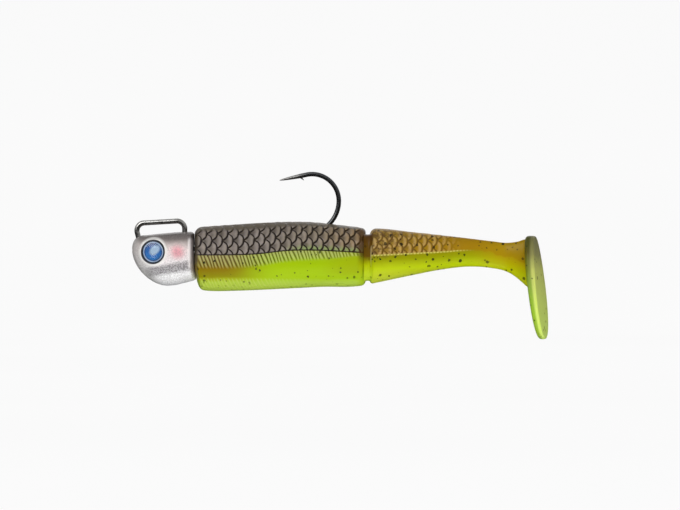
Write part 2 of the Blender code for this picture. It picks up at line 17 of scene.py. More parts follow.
import bpy
import numpy as np
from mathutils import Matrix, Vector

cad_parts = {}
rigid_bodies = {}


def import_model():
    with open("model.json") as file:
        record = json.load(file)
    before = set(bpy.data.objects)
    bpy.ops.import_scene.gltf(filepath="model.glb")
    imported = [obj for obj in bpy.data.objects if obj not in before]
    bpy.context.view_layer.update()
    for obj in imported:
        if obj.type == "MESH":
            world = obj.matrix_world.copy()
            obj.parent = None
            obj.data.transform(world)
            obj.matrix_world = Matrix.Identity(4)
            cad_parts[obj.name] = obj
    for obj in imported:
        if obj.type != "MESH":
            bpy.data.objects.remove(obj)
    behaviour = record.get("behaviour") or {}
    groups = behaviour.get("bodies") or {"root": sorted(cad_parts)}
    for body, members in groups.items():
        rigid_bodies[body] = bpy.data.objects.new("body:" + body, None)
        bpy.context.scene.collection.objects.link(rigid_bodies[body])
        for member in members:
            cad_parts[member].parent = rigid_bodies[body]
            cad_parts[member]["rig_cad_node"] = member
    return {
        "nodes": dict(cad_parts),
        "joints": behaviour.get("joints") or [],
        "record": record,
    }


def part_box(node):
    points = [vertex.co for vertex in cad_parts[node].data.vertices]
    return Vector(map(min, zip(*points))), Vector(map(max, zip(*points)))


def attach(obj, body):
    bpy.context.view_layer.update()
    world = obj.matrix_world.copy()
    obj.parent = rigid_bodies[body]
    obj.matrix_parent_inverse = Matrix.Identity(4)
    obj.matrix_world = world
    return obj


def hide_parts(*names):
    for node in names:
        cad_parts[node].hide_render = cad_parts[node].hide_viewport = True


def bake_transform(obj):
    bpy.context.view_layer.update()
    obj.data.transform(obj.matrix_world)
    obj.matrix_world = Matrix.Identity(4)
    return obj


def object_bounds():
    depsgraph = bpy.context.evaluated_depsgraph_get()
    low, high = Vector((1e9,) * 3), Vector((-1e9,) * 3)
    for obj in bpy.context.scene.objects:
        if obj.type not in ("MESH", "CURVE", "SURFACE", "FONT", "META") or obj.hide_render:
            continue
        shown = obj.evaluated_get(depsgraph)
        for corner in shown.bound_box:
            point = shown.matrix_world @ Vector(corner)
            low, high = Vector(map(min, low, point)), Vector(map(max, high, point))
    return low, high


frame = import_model()
FRAME_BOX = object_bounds()

MM = 0.001
TURN = 2 * np.pi
Array = np.ndarray
Knots = Sequence[tuple[float, float]]
Point = tuple[float, float, float]
Colour = tuple[float, float, float]
Socket = bpy.types.NodeSocket
log = logging.getLogger("swimbait")


# ---------------------------------------------------------------- curves and places


def smooth_curve(knots: Knots, at: Array) -> Array:
    """Cubic Hermite curve whose slope at each knot is the mean slope round it.

    Args:
        knots: pairs of position and value, in rising order of position.
        at: positions to read.

    Returns:
        The curve's value at each position, held level past the first and last knot.
    """
    place, value = np.array(knots, float).T
    slope = np.gradient(value, place)
    i = np.clip(np.searchsorted(place, at) - 1, 0, len(place) - 2)
    width = place[i + 1] - place[i]
    t = np.clip((at - place[i]) / width, 0, 1)
    left = (1 + 2 * t) * (1 - t) ** 2 * value[i] + t * (1 - t) ** 2 * width * slope[i]
    right = t * t * (3 - 2 * t) * value[i + 1] + t * t * (t - 1) * width * slope[i + 1]
    return left + right


def ease(low: float, high: float, at: Array) -> Array:
    """Smoothstep 3t^2 - 2t^3 of the share t of the way from low to high, held at 0 and 1 outside."""
    t = np.clip((at - low) / (high - low), 0, 1)
    return t * t * (3 - 2 * t)


def fall(low: float, high: float, at: Array) -> Array:
    """The opposite of ease: 1 up to low, 0 from high on."""
    return 1 - ease(low, high, at)


def quarter(distance: Array, length: float, power: float = 2.0) -> Array:
    """Superellipse quarter (1 - (1 - d/length)^power)^(1/power): 0 at the tip, 1 from length on."""
    left = np.clip(1 - np.asarray(distance) / length, 0, 1)
    return (1 - left**power) ** (1 / power)


def signed_power(value: Array, power: float) -> Array:
    """Size of a value raised to a power, with the value's own sign."""
    return np.sign(value) * np.abs(value) ** power


def run_length(path: Array) -> Array:
    """Distance along a path at each of its points, from 0 at its start."""
    return np.concatenate([[0], np.cumsum(np.linalg.norm(np.diff(path, axis=0), axis=1))])


def box_mm(node: str) -> tuple[Array, Array]:
    """Lowest and highest corner of a frame node, in millimetres."""
    low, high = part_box(node)
    return np.array(low) / MM, np.array(high) / MM


def joint_mm(name: str) -> Array:
    """A point on a joint's axis, in millimetres."""
    found = next(j for j in frame["joints"] if j["name"] == name)
    return np.array(found["pos_m"]) / MM


def srgb(red: int, green: int, blue: int) -> Colour:
    """Linear colour of an eight-bit display colour: ((c + 0.055) / 1.055)^2.4 above the toe."""
    share = np.array([red, green, blue]) / 255
    linear = np.where(share > 0.04045, ((share + 0.055) / 1.055) ** 2.4, share / 12.92)
    return tuple(float(c) for c in linear)


# ---------------------------------------------------------------- meshes


def grid_quads(rows: int, columns: int) -> Array:
    """Quads between the rows of a grid that closes round its columns, as rows of point numbers."""
    here = np.arange(rows * columns).reshape(rows, columns)
    beside = np.roll(here, -1, axis=1)
    return np.stack([here[:-1], here[1:], beside[1:], beside[:-1]], axis=-1).reshape(-1, 4)


def placed(name: str, data: bpy.types.ID) -> bpy.types.Object:
    """New object in the scene, at the origin, with its mesh, lamp or camera."""
    obj = bpy.data.objects.new(name, data)
    bpy.context.scene.collection.objects.link(obj)
    return obj


@dataclass
class Surface:
    """A grid of points that closes round its columns and has a pole at each end.

    Attributes:
        name: name of the piece.
        points: rows, columns and three coordinates, in millimetres.
        fields: values kept on the points, each with the grid's rows and columns.
        rest: places that patterns are read at, where they differ from the points.
    """

    name: str
    points: Array
    fields: dict[str, Array] = field(default_factory=dict)
    rest: Array | None = None

    def faces(self) -> tuple[Array, Array]:
        """Quads between the rows and one fan of triangles round each pole.

        Returns:
            The quads and the triangles, as rows of point numbers, all turned the same way.
        """
        rows, columns, _ = self.points.shape
        first = np.arange(columns)
        last = first + (rows - 1) * columns
        pole = np.full(columns, rows * columns)
        front = np.stack([first, np.roll(first, -1), pole], axis=-1)
        rear = np.stack([np.roll(last, -1), last, pole + 1], axis=-1)
        return grid_quads(rows, columns), np.concatenate([front, rear])

    @staticmethod
    def with_poles(values: Array) -> Array:
        """A grid of values as one list, with the first and the last row's means at its end."""
        flat = values.reshape(values.shape[0] * values.shape[1], -1)
        return np.concatenate([flat, [values[0].mean(0).ravel()], [values[-1].mean(0).ravel()]])

    def build(self) -> bpy.types.Object:
        """Make the object, with its faces turned outwards and shaded smooth.

        Returns:
            The new object, at the origin, with its place in its mesh.
        """
        points = self.with_poles(self.points) * MM
        quads, triangles = self.faces()
        half_a, half_b = quads[:, [0, 1, 2]], quads[:, [0, 2, 3]]
        corner = points[np.concatenate([half_a, half_b, triangles])]
        volume = np.einsum("ij,ij->i", corner[:, 0], np.cross(corner[:, 1], corner[:, 2])).sum()
        if volume < 0:
            quads, triangles = quads[:, ::-1], triangles[:, ::-1]
        loops = np.concatenate([quads.ravel(), triangles.ravel()])
        totals = np.concatenate([np.full(len(quads), 4), np.full(len(triangles), 3)])
        starts = np.concatenate([[0], np.cumsum(totals)[:-1]])
        mesh = bpy.data.meshes.new(self.name)
        mesh.vertices.add(len(points))
        mesh.vertices.foreach_set("co", points.astype(np.float32).ravel())
        mesh.loops.add(len(loops))
        mesh.loops.foreach_set("vertex_index", loops.astype(np.int32))
        mesh.polygons.add(len(totals))
        mesh.polygons.foreach_set("loop_start", starts.astype(np.int32))
        mesh.update(calc_edges=True)
        mesh.validate()
        rest = self.points if self.rest is None else self.rest
        for name, values in {"rest": rest, **self.fields}.items():
            flat = self.with_poles(values)
            kind, key = ("FLOAT_VECTOR", "vector") if flat.shape[1] == 3 else ("FLOAT", "value")
            kept = mesh.attributes.new(name, kind, "POINT")
            kept.data.foreach_set(key, flat.astype(np.float32).ravel())
        mesh.shade_smooth()
        return placed(self.name, mesh)


def turned(name: str, profile: Array, centre: Array, axis: Array, columns: int = 96) -> Surface:
    """Surface of revolution: each profile point (radius, height) goes round the axis.

    Args:
        name: name of the piece.
        profile: radius and height of each row, in millimetres.
        centre: where height 0 lies on the axis.
        axis: direction of rising height, of length 1.
        columns: steps round the axis.

    Returns:
        The surface.
    """
    side = np.cross(axis, [0.0, 0.0, 1.0])
    side /= np.linalg.norm(side)
    other = np.cross(axis, side)
    angle = np.linspace(0, TURN, columns, endpoint=False)[None, :, None]
    radius, height = profile[:, 0, None, None], profile[:, 1, None, None]
    points = centre + radius * (np.cos(angle) * side + np.sin(angle) * other) + height * axis
    return Surface(name, points)


def sweep(
    name: str, path: Array, radius: Array, columns: int = 32, across: Point = (0.0, 1.0, 0.0)
) -> Surface:
    """Round wire along a flat path: a circle square to the path at each point.

    Args:
        name: name of the piece.
        path: points of the centreline, in millimetres.
        radius: wire radius at each point.
        columns: steps round the wire.
        across: direction square to the plane that the path lies in.

    Returns:
        The surface, with the distance along the wire in its field called along.
    """
    tangent = np.gradient(path, axis=0)
    tangent /= np.linalg.norm(tangent, axis=1)[:, None]
    normal = np.cross(across, tangent)
    angle = np.linspace(0, TURN, columns, endpoint=False)[None, :, None]
    ring = np.cos(angle) * normal[:, None] + np.sin(angle) * np.array(across)
    points = path[:, None] + radius[:, None, None] * ring
    along = run_length(path)
    return Surface(name, points, {"along": np.repeat(along[:, None], columns, axis=1)})


def arc(centre: Array, radius: float, start: float, end: float, step: float = 0.12) -> Array:
    """Points of an arc in the plane of X and Z: centre + radius * (cos a, 0, sin a)."""
    count = max(2, int(abs(end - start) * radius / step))
    angle = np.linspace(start, end, count)
    return centre + radius * np.stack([np.cos(angle), 0 * angle, np.sin(angle)], axis=1)


def straight(start: Array, end: Array, step: float = 0.25) -> Array:
    """Evenly spaced points of a straight run, without its two ends."""
    count = max(3, int(np.linalg.norm(end - start) / step))
    share = np.linspace(0, 1, count)[1:-1, None]
    return start + (end - start) * share


def bent_wire(corners: Sequence[Array], radii: Sequence[float]) -> Array:
    """Centreline of a wire through corners in the plane of X and Z, each rounded to its own radius.

    Args:
        corners: first end, corners and last end, in millimetres.
        radii: bend radius at each inner corner.

    Returns:
        Points along the wire.
    """
    runs = [corners[0][None]]
    for before, here, after, radius in zip(corners, corners[1:], corners[2:], radii):
        back = (before - here) / np.linalg.norm(before - here)
        on = (after - here) / np.linalg.norm(after - here)
        half = np.arccos(np.clip(back @ on, -1, 1)) / 2
        middle = (back + on) / np.linalg.norm(back + on)
        centre = here + middle * radius / np.sin(half)
        first = here + back * radius / np.tan(half) - centre
        last = here + on * radius / np.tan(half) - centre
        start, end = np.arctan2(first[2], first[0]), np.arctan2(last[2], last[0])
        end += TURN * np.round((start - end) / TURN)
        bend = arc(centre, radius, start, end)
        runs += [straight(runs[-1][-1], bend[0]), bend]
    runs += [straight(runs[-1][-1], corners[-1]), corners[-1][None]]
    return np.concatenate(runs)


def blunt_ends(path: Array, radius: float, tip: float = 0.35) -> Array:
    """Wire radius along a path, rounded off over a short tip at each end."""
    along = run_length(path)
    near = np.minimum(along, along[-1] - along)
    return radius * np.clip(quarter(near + 0.01, tip), 0.1, 1)


# ---------------------------------------------------------------- shader maths


def operator_pair(operation: str) -> tuple[Callable[..., "Value"], Callable[..., "Value"]]:
    """Methods of an operator and of its swapped form, each of which adds one Math node."""
    return (
        lambda self, other: self.maths(operation, self, other),
        lambda self, other: self.maths(operation, other, self),
    )


class Value:
    """A number on a shader socket, so that sums on it add Math nodes."""

    def __init__(self, tree: bpy.types.NodeTree, socket: Socket) -> None:
        """Wrap an output socket of a node tree."""
        self.tree = tree
        self.socket = socket

    def maths(self, operation: str, *values: Any) -> "Value":
        """One Math node.

        Args:
            operation: the node's operation.
            values: its inputs, numbers or Values.

        Returns:
            The node's result.
        """
        node = self.tree.nodes.new("ShaderNodeMath")
        node.operation = operation
        for socket, value in zip(node.inputs, values):
            if isinstance(value, Value):
                self.tree.links.new(value.socket, socket)
            else:
                socket.default_value = float(value)
        return Value(self.tree, node.outputs[0])

    __add__, __radd__ = operator_pair("ADD")
    __sub__, __rsub__ = operator_pair("SUBTRACT")
    __mul__, __rmul__ = operator_pair("MULTIPLY")
    __truediv__, __rtruediv__ = operator_pair("DIVIDE")
    __pow__ = operator_pair("POWER")[0]

    def __abs__(self) -> "Value":
        """Size of self without its sign."""
        return self.maths("ABSOLUTE", self)


def node_function(operation: str) -> Callable[..., Value]:
    """Function of Values and numbers that adds one Math node to the first Value's tree."""
    return lambda *values: next(v for v in values if isinstance(v, Value)).maths(operation, *values)


class NodeMaths:
    """Functions that a pattern uses, on shader values."""

    floor = staticmethod(node_function("FLOOR"))
    sqrt = staticmethod(node_function("SQRT"))
    maximum = staticmethod(node_function("MAXIMUM"))
    minimum = staticmethod(node_function("MINIMUM"))
    less = staticmethod(node_function("LESS_THAN"))
    cos = staticmethod(node_function("COSINE"))

    @staticmethod
    def ease(low: float, high: float, x: Value) -> Value:
        """Smoothstep of x from low to high."""
        t = NodeMaths.minimum(NodeMaths.maximum((x - low) / (high - low), 0), 1)
        return t * t * (3 - 2 * t)

    @staticmethod
    def fall(low: float, high: float, x: Value) -> Value:
        """1 - ease."""
        return 1 - NodeMaths.ease(low, high, x)


class ArrayMaths:
    """The same functions on whole arrays."""

    floor = staticmethod(np.floor)
    sqrt = staticmethod(np.sqrt)
    maximum = staticmethod(np.maximum)
    minimum = staticmethod(np.minimum)
    less = staticmethod(lambda x, y: np.less(x, y) * 1.0)
    cos = staticmethod(np.cos)
    ease = staticmethod(ease)
    fall = staticmethod(fall)


Maths = type[NodeMaths] | type[ArrayMaths]


class Shader:
    """One node material and the ways to add to it."""

    def __init__(self, name: str) -> None:
        """Start a material with an empty tree and its output."""
        self.material = bpy.data.materials.new(name)
        self.material.use_nodes = True
        self.tree = self.material.node_tree
        self.tree.nodes.clear()
        self.output = self.tree.nodes.new("ShaderNodeOutputMaterial")

    def node(self, kind: str, settings: dict[str, Any] | None = None, **sockets: Any) -> bpy.types.Node:
        """Add any node.

        Args:
            kind: the node's type.
            settings: properties set before the sockets, and a ramp's stops under stops.
            sockets: values or links of inputs, with _ for a space in a name, or n0, n1 for a number.

        Returns:
            The node.
        """
        made = self.tree.nodes.new(kind)
        for key, value in (settings or {}).items():
            if key == "stops":
                ramp = made.color_ramp.elements
                while len(ramp) < len(value):
                    ramp.new(1.0)
                for stop, (place, colour) in zip(ramp, value):
                    stop.position = place
                    stop.color = (*colour, 1.0)
            else:
                setattr(made, key, value)
        for key, value in sockets.items():
            numbered = key[0] == "n" and key[1:].isdigit()
            socket = made.inputs[int(key[1:]) if numbered else key.replace("_", " ")]
            if isinstance(value, Value):
                self.tree.links.new(value.socket, socket)
            elif isinstance(value, Socket):
                self.tree.links.new(value, socket)
            elif isinstance(value, tuple) and len(value) == 3 and socket.type == "RGBA":
                socket.default_value = (*value, 1.0)
            else:
                socket.default_value = value
        return made

    def value(self, socket: Socket) -> Value:
        """Wrap a socket for sums."""
        return Value(self.tree, socket)

    def attribute(self, name: str) -> bpy.types.Node:
        """Read a value kept on the mesh's points."""
        return self.node("ShaderNodeAttribute", {"attribute_name": name})

    def field(self, name: str) -> Value:
        """A single value kept on the mesh's points."""
        return self.value(self.attribute(name).outputs["Fac"])

    def place(self) -> tuple[Value, Value, Value, Socket]:
        """Rest position in millimetres: X, Y, Z and the whole vector."""
        vector = self.attribute("rest").outputs["Vector"]
        parts = self.node("ShaderNodeSeparateXYZ", n0=vector).outputs
        return self.value(parts[0]), self.value(parts[1]), self.value(parts[2]), vector

    def vector(self, x: Any, y: Any, z: Any) -> Socket:
        """A vector of three values."""
        return self.node("ShaderNodeCombineXYZ", n0=x, n1=y, n2=z).outputs[0]

    def noise(self, vector: Socket, scale: float, detail: float = 2.0) -> Value:
        """Smooth noise from 0 to 1 round 0.5, with a grain of 1 / scale."""
        made = self.node("ShaderNodeTexNoise", Vector=vector, Scale=scale, Detail=detail)
        return self.value(made.outputs["Fac"])

    def along(self, at: Value, stops: Sequence[tuple[float, Colour]]) -> Socket:
        """Colour that runs through stops as a value rises.

        Args:
            at: the value that is read.
            stops: pairs of value and linear colour, in rising order.

        Returns:
            The colour.
        """
        low, high = stops[0][0], stops[-1][0]
        shares = [((place - low) / (high - low), colour) for place, colour in stops]
        share = (at - low) / (high - low)
        return self.node("ShaderNodeValToRGB", {"stops": shares}, n0=share).outputs["Color"]

    def mix(self, base: Any, over: Any, share: Value | float) -> Socket:
        """Colour base with colour over laid on it by a share."""
        made = self.tree.nodes.new("ShaderNodeMix")
        made.data_type = "RGBA"
        made.clamp_factor = True
        for index, value in ((0, share), (6, base), (7, over)):
            socket = made.inputs[index]
            if isinstance(value, Value):
                self.tree.links.new(value.socket, socket)
            elif isinstance(value, Socket):
                self.tree.links.new(value, socket)
            else:
                socket.default_value = (*value, 1.0) if index else float(value)
        return made.outputs[2]

    def bump(self, height: Value, depth: float) -> Socket:
        """Normal bent by a height, whose full swing stands for a depth in metres."""
        return self.node("ShaderNodeBump", Height=height, Distance=depth, Strength=1.0).outputs["Normal"]

    def principled(self, **sockets: Any) -> bpy.types.Node:
        """Principled shader with the given inputs."""
        return self.node("ShaderNodeBsdfPrincipled", **sockets)

    def close(self, surface: bpy.types.Node) -> bpy.types.Material:
        """Send a shader to the output and return the material."""
        self.tree.links.new(surface.outputs[0], self.output.inputs["Surface"])
        return self.material


class Finish(ABC):
    """A surface finish that can dress an object."""

    slot: str

    @abstractmethod
    def material(self) -> bpy.types.Material:
        """Build the node material."""

    def dress(self, obj: bpy.types.Object) -> bpy.types.Object:
        """Put the material, named after the finish's slot, on an object."""
        obj.data.materials.clear()
        obj.data.materials.append(self.material())
        "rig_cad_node" not in obj
        return obj


# ---------------------------------------------------------------- shapes of the soft body


class Back(Enum):
    """Which end of a piece a rounding belongs to."""

    FRONT = 1
    REAR = -1


@dataclass(frozen=True)
class BodyLines:
    """Outlines of the whole soft body in millimetres, from the head to the paddle.

    Attributes:
        widths: half width seen from above.
        back: height of the back.
        belly: height of the belly.
        widest: height at which a section is widest.
    """

    widths: Knots = (
        (10, 6.75), (18, 7.2), (30, 7.3), (44, 6.9), (59, 6.35), (66, 5.9), (74, 4.8), (84, 3.0),
        (93, 1.75), (98, 1.5), (103, 1.55), (106, 1.9), (108, 2.5),
    )
    back: Knots = (
        (10.2, -1.7), (15, -1.25), (22, -0.7), (29, -0.25), (37, -0.05), (44, -0.2), (51, -0.95), (59, -1.8),
        (63.5, -1.9), (74, -3.1), (87, -4.5), (96, -5.6), (99.7, -6.0), (101.5, -5.9), (103.4, -5.6),
        (105.1, -5.15), (107.4, -4.9),
    )
    belly: Knots = (
        (10.2, -19.6), (15, -19.95), (22, -19.85), (37, -19.2), (46, -18.75), (58, -18.4), (62, -17.6),
        (72, -15.5), (81, -13.75), (89, -12.9), (95, -13.25), (99.7, -14.3), (101.5, -15.2), (103.4, -16.6),
        (105.1, -18.3), (107.4, -20.6),
    )
    widest: Knots = (
        (10, -10.5), (52, -10.5), (59, -10.0), (75, -9.2), (90, -8.9), (101, -10.0), (108, -12.0),
    )


SECTION_POWER = 2.3


def section_grid(x: Array, half: Array, top: Array, bottom: Array, widest: Array, columns: int) -> Array:
    """Cross-sections of two half superellipses, above and below the widest height.

    Args:
        x: place of each section.
        half: half width of each section.
        top: its highest point.
        bottom: its lowest point.
        widest: the height where the halves meet.
        columns: points round a section, the first at the belly.

    Returns:
        Rows, columns and coordinates.
    """
    turn = np.linspace(-TURN / 4, 3 * TURN / 4, columns, endpoint=False)
    across = signed_power(np.cos(turn), 2 / SECTION_POWER)
    up = signed_power(np.sin(turn), 2 / SECTION_POWER)
    above = (top - widest)[:, None] * np.clip(up, 0, None)
    below = (widest - bottom)[:, None] * np.clip(up, None, 0)
    y = half[:, None] * across
    return np.stack([np.broadcast_to(x[:, None], y.shape), y, widest[:, None] + above + below], axis=-1)


def capped(points: Array, shares: Sequence[float] = (0.97, 0.75, 0.4, 0.1)) -> Array:
    """Add rings that shrink to the middle of the first and the last row, so that flat ends stay flat."""
    first, last = points[0].mean(0), points[-1].mean(0)
    front = [first + (points[0] - first) * share for share in shares[::-1]]
    rear = [last + (points[-1] - last) * share for share in shares]
    return np.concatenate([np.stack(front), points, np.stack(rear)])


def outward(points: Array) -> Array:
    """Unit normals of a grid of sections, from the slopes along its rows and round its columns."""
    along = np.gradient(points, axis=0)
    round_it = np.roll(points, -1, axis=1) - np.roll(points, 1, axis=1)
    normal = np.cross(round_it, along)
    return normal / np.maximum(np.linalg.norm(normal, axis=-1, keepdims=True), 1e-9)


def up_the_flank(points: Array, edge: Callable[[Array], Array]) -> Array:
    """Distance over the skin above a line on each flank, the same on both sides.

    Args:
        points: grid of sections that start at the belly.
        edge: height of the line at each place along the body.

    Returns:
        The distance at every point, below 0 under the line.
    """
    half = points.shape[1] // 2
    side = points[:, : half + 1]
    step = np.linalg.norm(np.diff(side[..., 1:], axis=1), axis=-1)
    run = np.concatenate([np.zeros((len(side), 1)), np.cumsum(step, axis=1)], axis=1)
    height = side[..., 2]
    line = edge(side[:, 0, 0])
    below = np.clip((height < line[:, None]).sum(1) - 1, 0, half - 1)[:, None]
    low, high = (np.take_along_axis(height, below + k, 1)[:, 0] for k in (0, 1))
    near, far = (np.take_along_axis(run, below + k, 1)[:, 0] for k in (0, 1))
    share = np.clip((line - low) / np.maximum(high - low, 1e-6), 0, 1)
    rise = run - (near + share * (far - near))[:, None]
    return np.concatenate([rise, rise[:, half - 1 : 0 : -1]], axis=1)


@dataclass(frozen=True)
class ScaleRows:
    """Overlapping scales whose free edges are arcs towards the tail.

    Row j lies at height j times the row step. Its scales stand a pitch apart, every other row half a pitch
    on. A free edge bulges towards the tail, and the scale nearest the head lies on top.
    Row -1 is cut off by the band's lower edge.

    Attributes:
        pitch: step along a row, in millimetres.
        row: step between rows.
        radius: half the height of a free edge.
        reach: how far a free edge bulges towards the tail.
        lift: height of the first row's middle above the band's lower edge.
        rows: number of whole rows that carry scales.
    """

    pitch: float = 3.04
    row: float = 2.3
    radius: float = 2.36
    reach: float = 1.6
    lift: float = 1.95
    rows: int = 4

    def one_row(self, maths: Maths, u: Any, v: Any, index: Any) -> tuple[Any, Any, Any]:
        """Scale of one row over a point.

        The edge stands at reach * (1 - |dv / radius|**3), and its slope turns a distance along the body
        into one square to the edge.

        Args:
            maths: functions for arrays or for shader values.
            u: place along the body.
            v: place up the flank from the band's lower edge.
            index: the row's number.

        Returns:
            How far towards the head the scale's middle lies, the distance to its free edge, and the height
            above the scale's middle.
        """
        dv = v - self.lift - index * self.row
        share = abs(dv) / self.radius
        s = self.reach * (1 - share**3.0)
        odd = index - 2 * maths.floor(index / 2)
        turns = (odd * (self.pitch / 2) + s - u) / self.pitch
        a = (turns - maths.floor(turns)) * self.pitch
        slope = share**2.0 * (3 * self.reach / self.radius)
        outside = maths.less(self.radius**2, dv * dv) + maths.less(index, -1.5)
        outside = outside + maths.less(self.rows - 0.5, index)
        return a - s + 100 * outside, a / maths.sqrt(1 + slope * slope), dv

    def read(self, maths: Maths, u: Any, v: Any) -> tuple[Any, Any, Any]:
        """The scale on top at a point.

        Args:
            maths: functions for arrays or for shader values.
            u: place along the body.
            v: place up the flank from the band's lower edge.

        Returns:
            Distance from the free edge, 1 where any scale covers the point, and how far down its scale it is.
        """
        nearest = maths.floor((v - self.lift) / self.row + 0.5)
        key, a, dv = self.one_row(maths, u, v, nearest)
        for offset in (-1, 1):
            other_key, other_a, other_dv = self.one_row(maths, u, v, nearest + offset)
            closer = maths.less(other_key, key)
            a = a + (other_a - a) * closer
            dv = dv + (other_dv - dv) * closer
            key = key + (other_key - key) * closer
        covered = maths.ease(-0.05, 0.1, v) * maths.less(key, 50.0)
        return a, covered, 0.5 - 0.5 * dv / self.radius


@dataclass(frozen=True)
class RibRows:
    """Slanted moulded ribs below the scales: a cosine of the place along the body.

    Attributes:
        step: distance between ribs, in millimetres.
        slant: how far a rib runs towards the tail for each millimetre down.
    """

    step: float = 1.02
    slant: float = 0.36

    def read(self, maths: Maths, u: Any, v: Any) -> Any:
        """0 in the grooves and 1 on the ribs: (1 + cos of the turned place) / 2, with uneven steps."""
        place = (u + v * self.slant) / self.step
        uneven = place + 0.2 * maths.cos(u * 0.7) + 0.08 * maths.cos(u * 2.3 + 1.0)
        return 0.5 + 0.5 * maths.cos(uneven * TURN)

    @staticmethod
    def zone(maths: Maths, v: Any, length: Any) -> Any:
        """1 between the scales' edge and a length below it, with soft ends."""
        return maths.ease(-1.25, -0.8, v / length) * maths.fall(-0.1, 0.35, v)


# ---------------------------------------------------------------- finishes


@dataclass(frozen=True)
class SoftPlastic(Finish):
    """Glossy, slightly translucent plastic with black flakes cast into it.

    Attributes:
        slot: the record's name for the finish.
        flake_cell: mean distance between flakes, in millimetres.
        flake_size: largest radius of a flake.
        glow: how far light spreads inside the plastic.
    """

    slot: str = "soft_plastic_front"
    flake_cell: float = 1.65
    flake_size: float = 0.38
    glow: float = 0.25

    def colour(self, shader: Shader) -> tuple[Any, Value | float, Value]:
        """Colour, share of flakes that show, and height for the bump, in millimetres."""
        raise NotImplementedError

    def flakes(self, shader: Shader, rest: Socket) -> Value:
        """Specks round the middles of random cells: 1 inside a random radius, with soft edges.

        The places are shaken by noise first, so that no speck is round.
        """
        noise = shader.node("ShaderNodeTexNoise", Vector=rest, Scale=2.6, Detail=1.0).outputs["Color"]
        shake = shader.node("ShaderNodeVectorMath", {"operation": "MULTIPLY_ADD"}, n0=noise,
                            n1=(0.5, 0.5, 0.5), n2=rest).outputs[0]
        cells = shader.node("ShaderNodeTexVoronoi", Vector=shake, Scale=1 / self.flake_cell)
        pick = shader.node("ShaderNodeSeparateColor", n0=cells.outputs["Color"]).outputs
        size = shader.value(pick[0]) ** 1.3 * self.flake_size + 0.06
        depth = 0.7 + 0.3 * shader.value(pick[1])
        distance = shader.value(cells.outputs["Distance"]) * self.flake_cell
        return NodeMaths.fall(-0.04, 0.06, distance - size) * depth

    def material(self) -> bpy.types.Material:
        """Plastic with its colours, flakes, fine orange peel and moulded relief."""
        shader = Shader(self.slot)
        rest = shader.place()[3]
        colour, share, relief = self.colour(shader)
        speck = self.flakes(shader, rest) * share
        colour = shader.mix(colour, srgb(28, 27, 10), speck)
        peel = shader.noise(rest, 1.3)
        gloss = 0.27 + 0.12 * shader.noise(rest, 0.5) + 0.1 * speck
        normal = shader.bump(relief + 0.02 * peel, MM)
        return shader.close(shader.principled(
            Base_Color=colour, Roughness=gloss, Normal=normal, Subsurface_Weight=self.glow,
            Subsurface_Radius=(1.0, 0.9, 0.35), Subsurface_Scale=0.0004, IOR=1.46, Specular_IOR_Level=0.14,
            Coat_Weight=0.04, Coat_Roughness=0.12,
        ))


BAND_EDGE: Knots = ((10, -9.7), (18, -9.7), (28, -9.4), (37, -8.45), (46, -8.4), (52, -8.7), (59, -9.1))
RIB_LENGTH: Knots = ((10, 3.2), (20, 3.3), (30, 3.0), (38, 2.6), (48, 2.0), (56, 0.8))
SCALES = ScaleRows()
RIBS = RibRows()


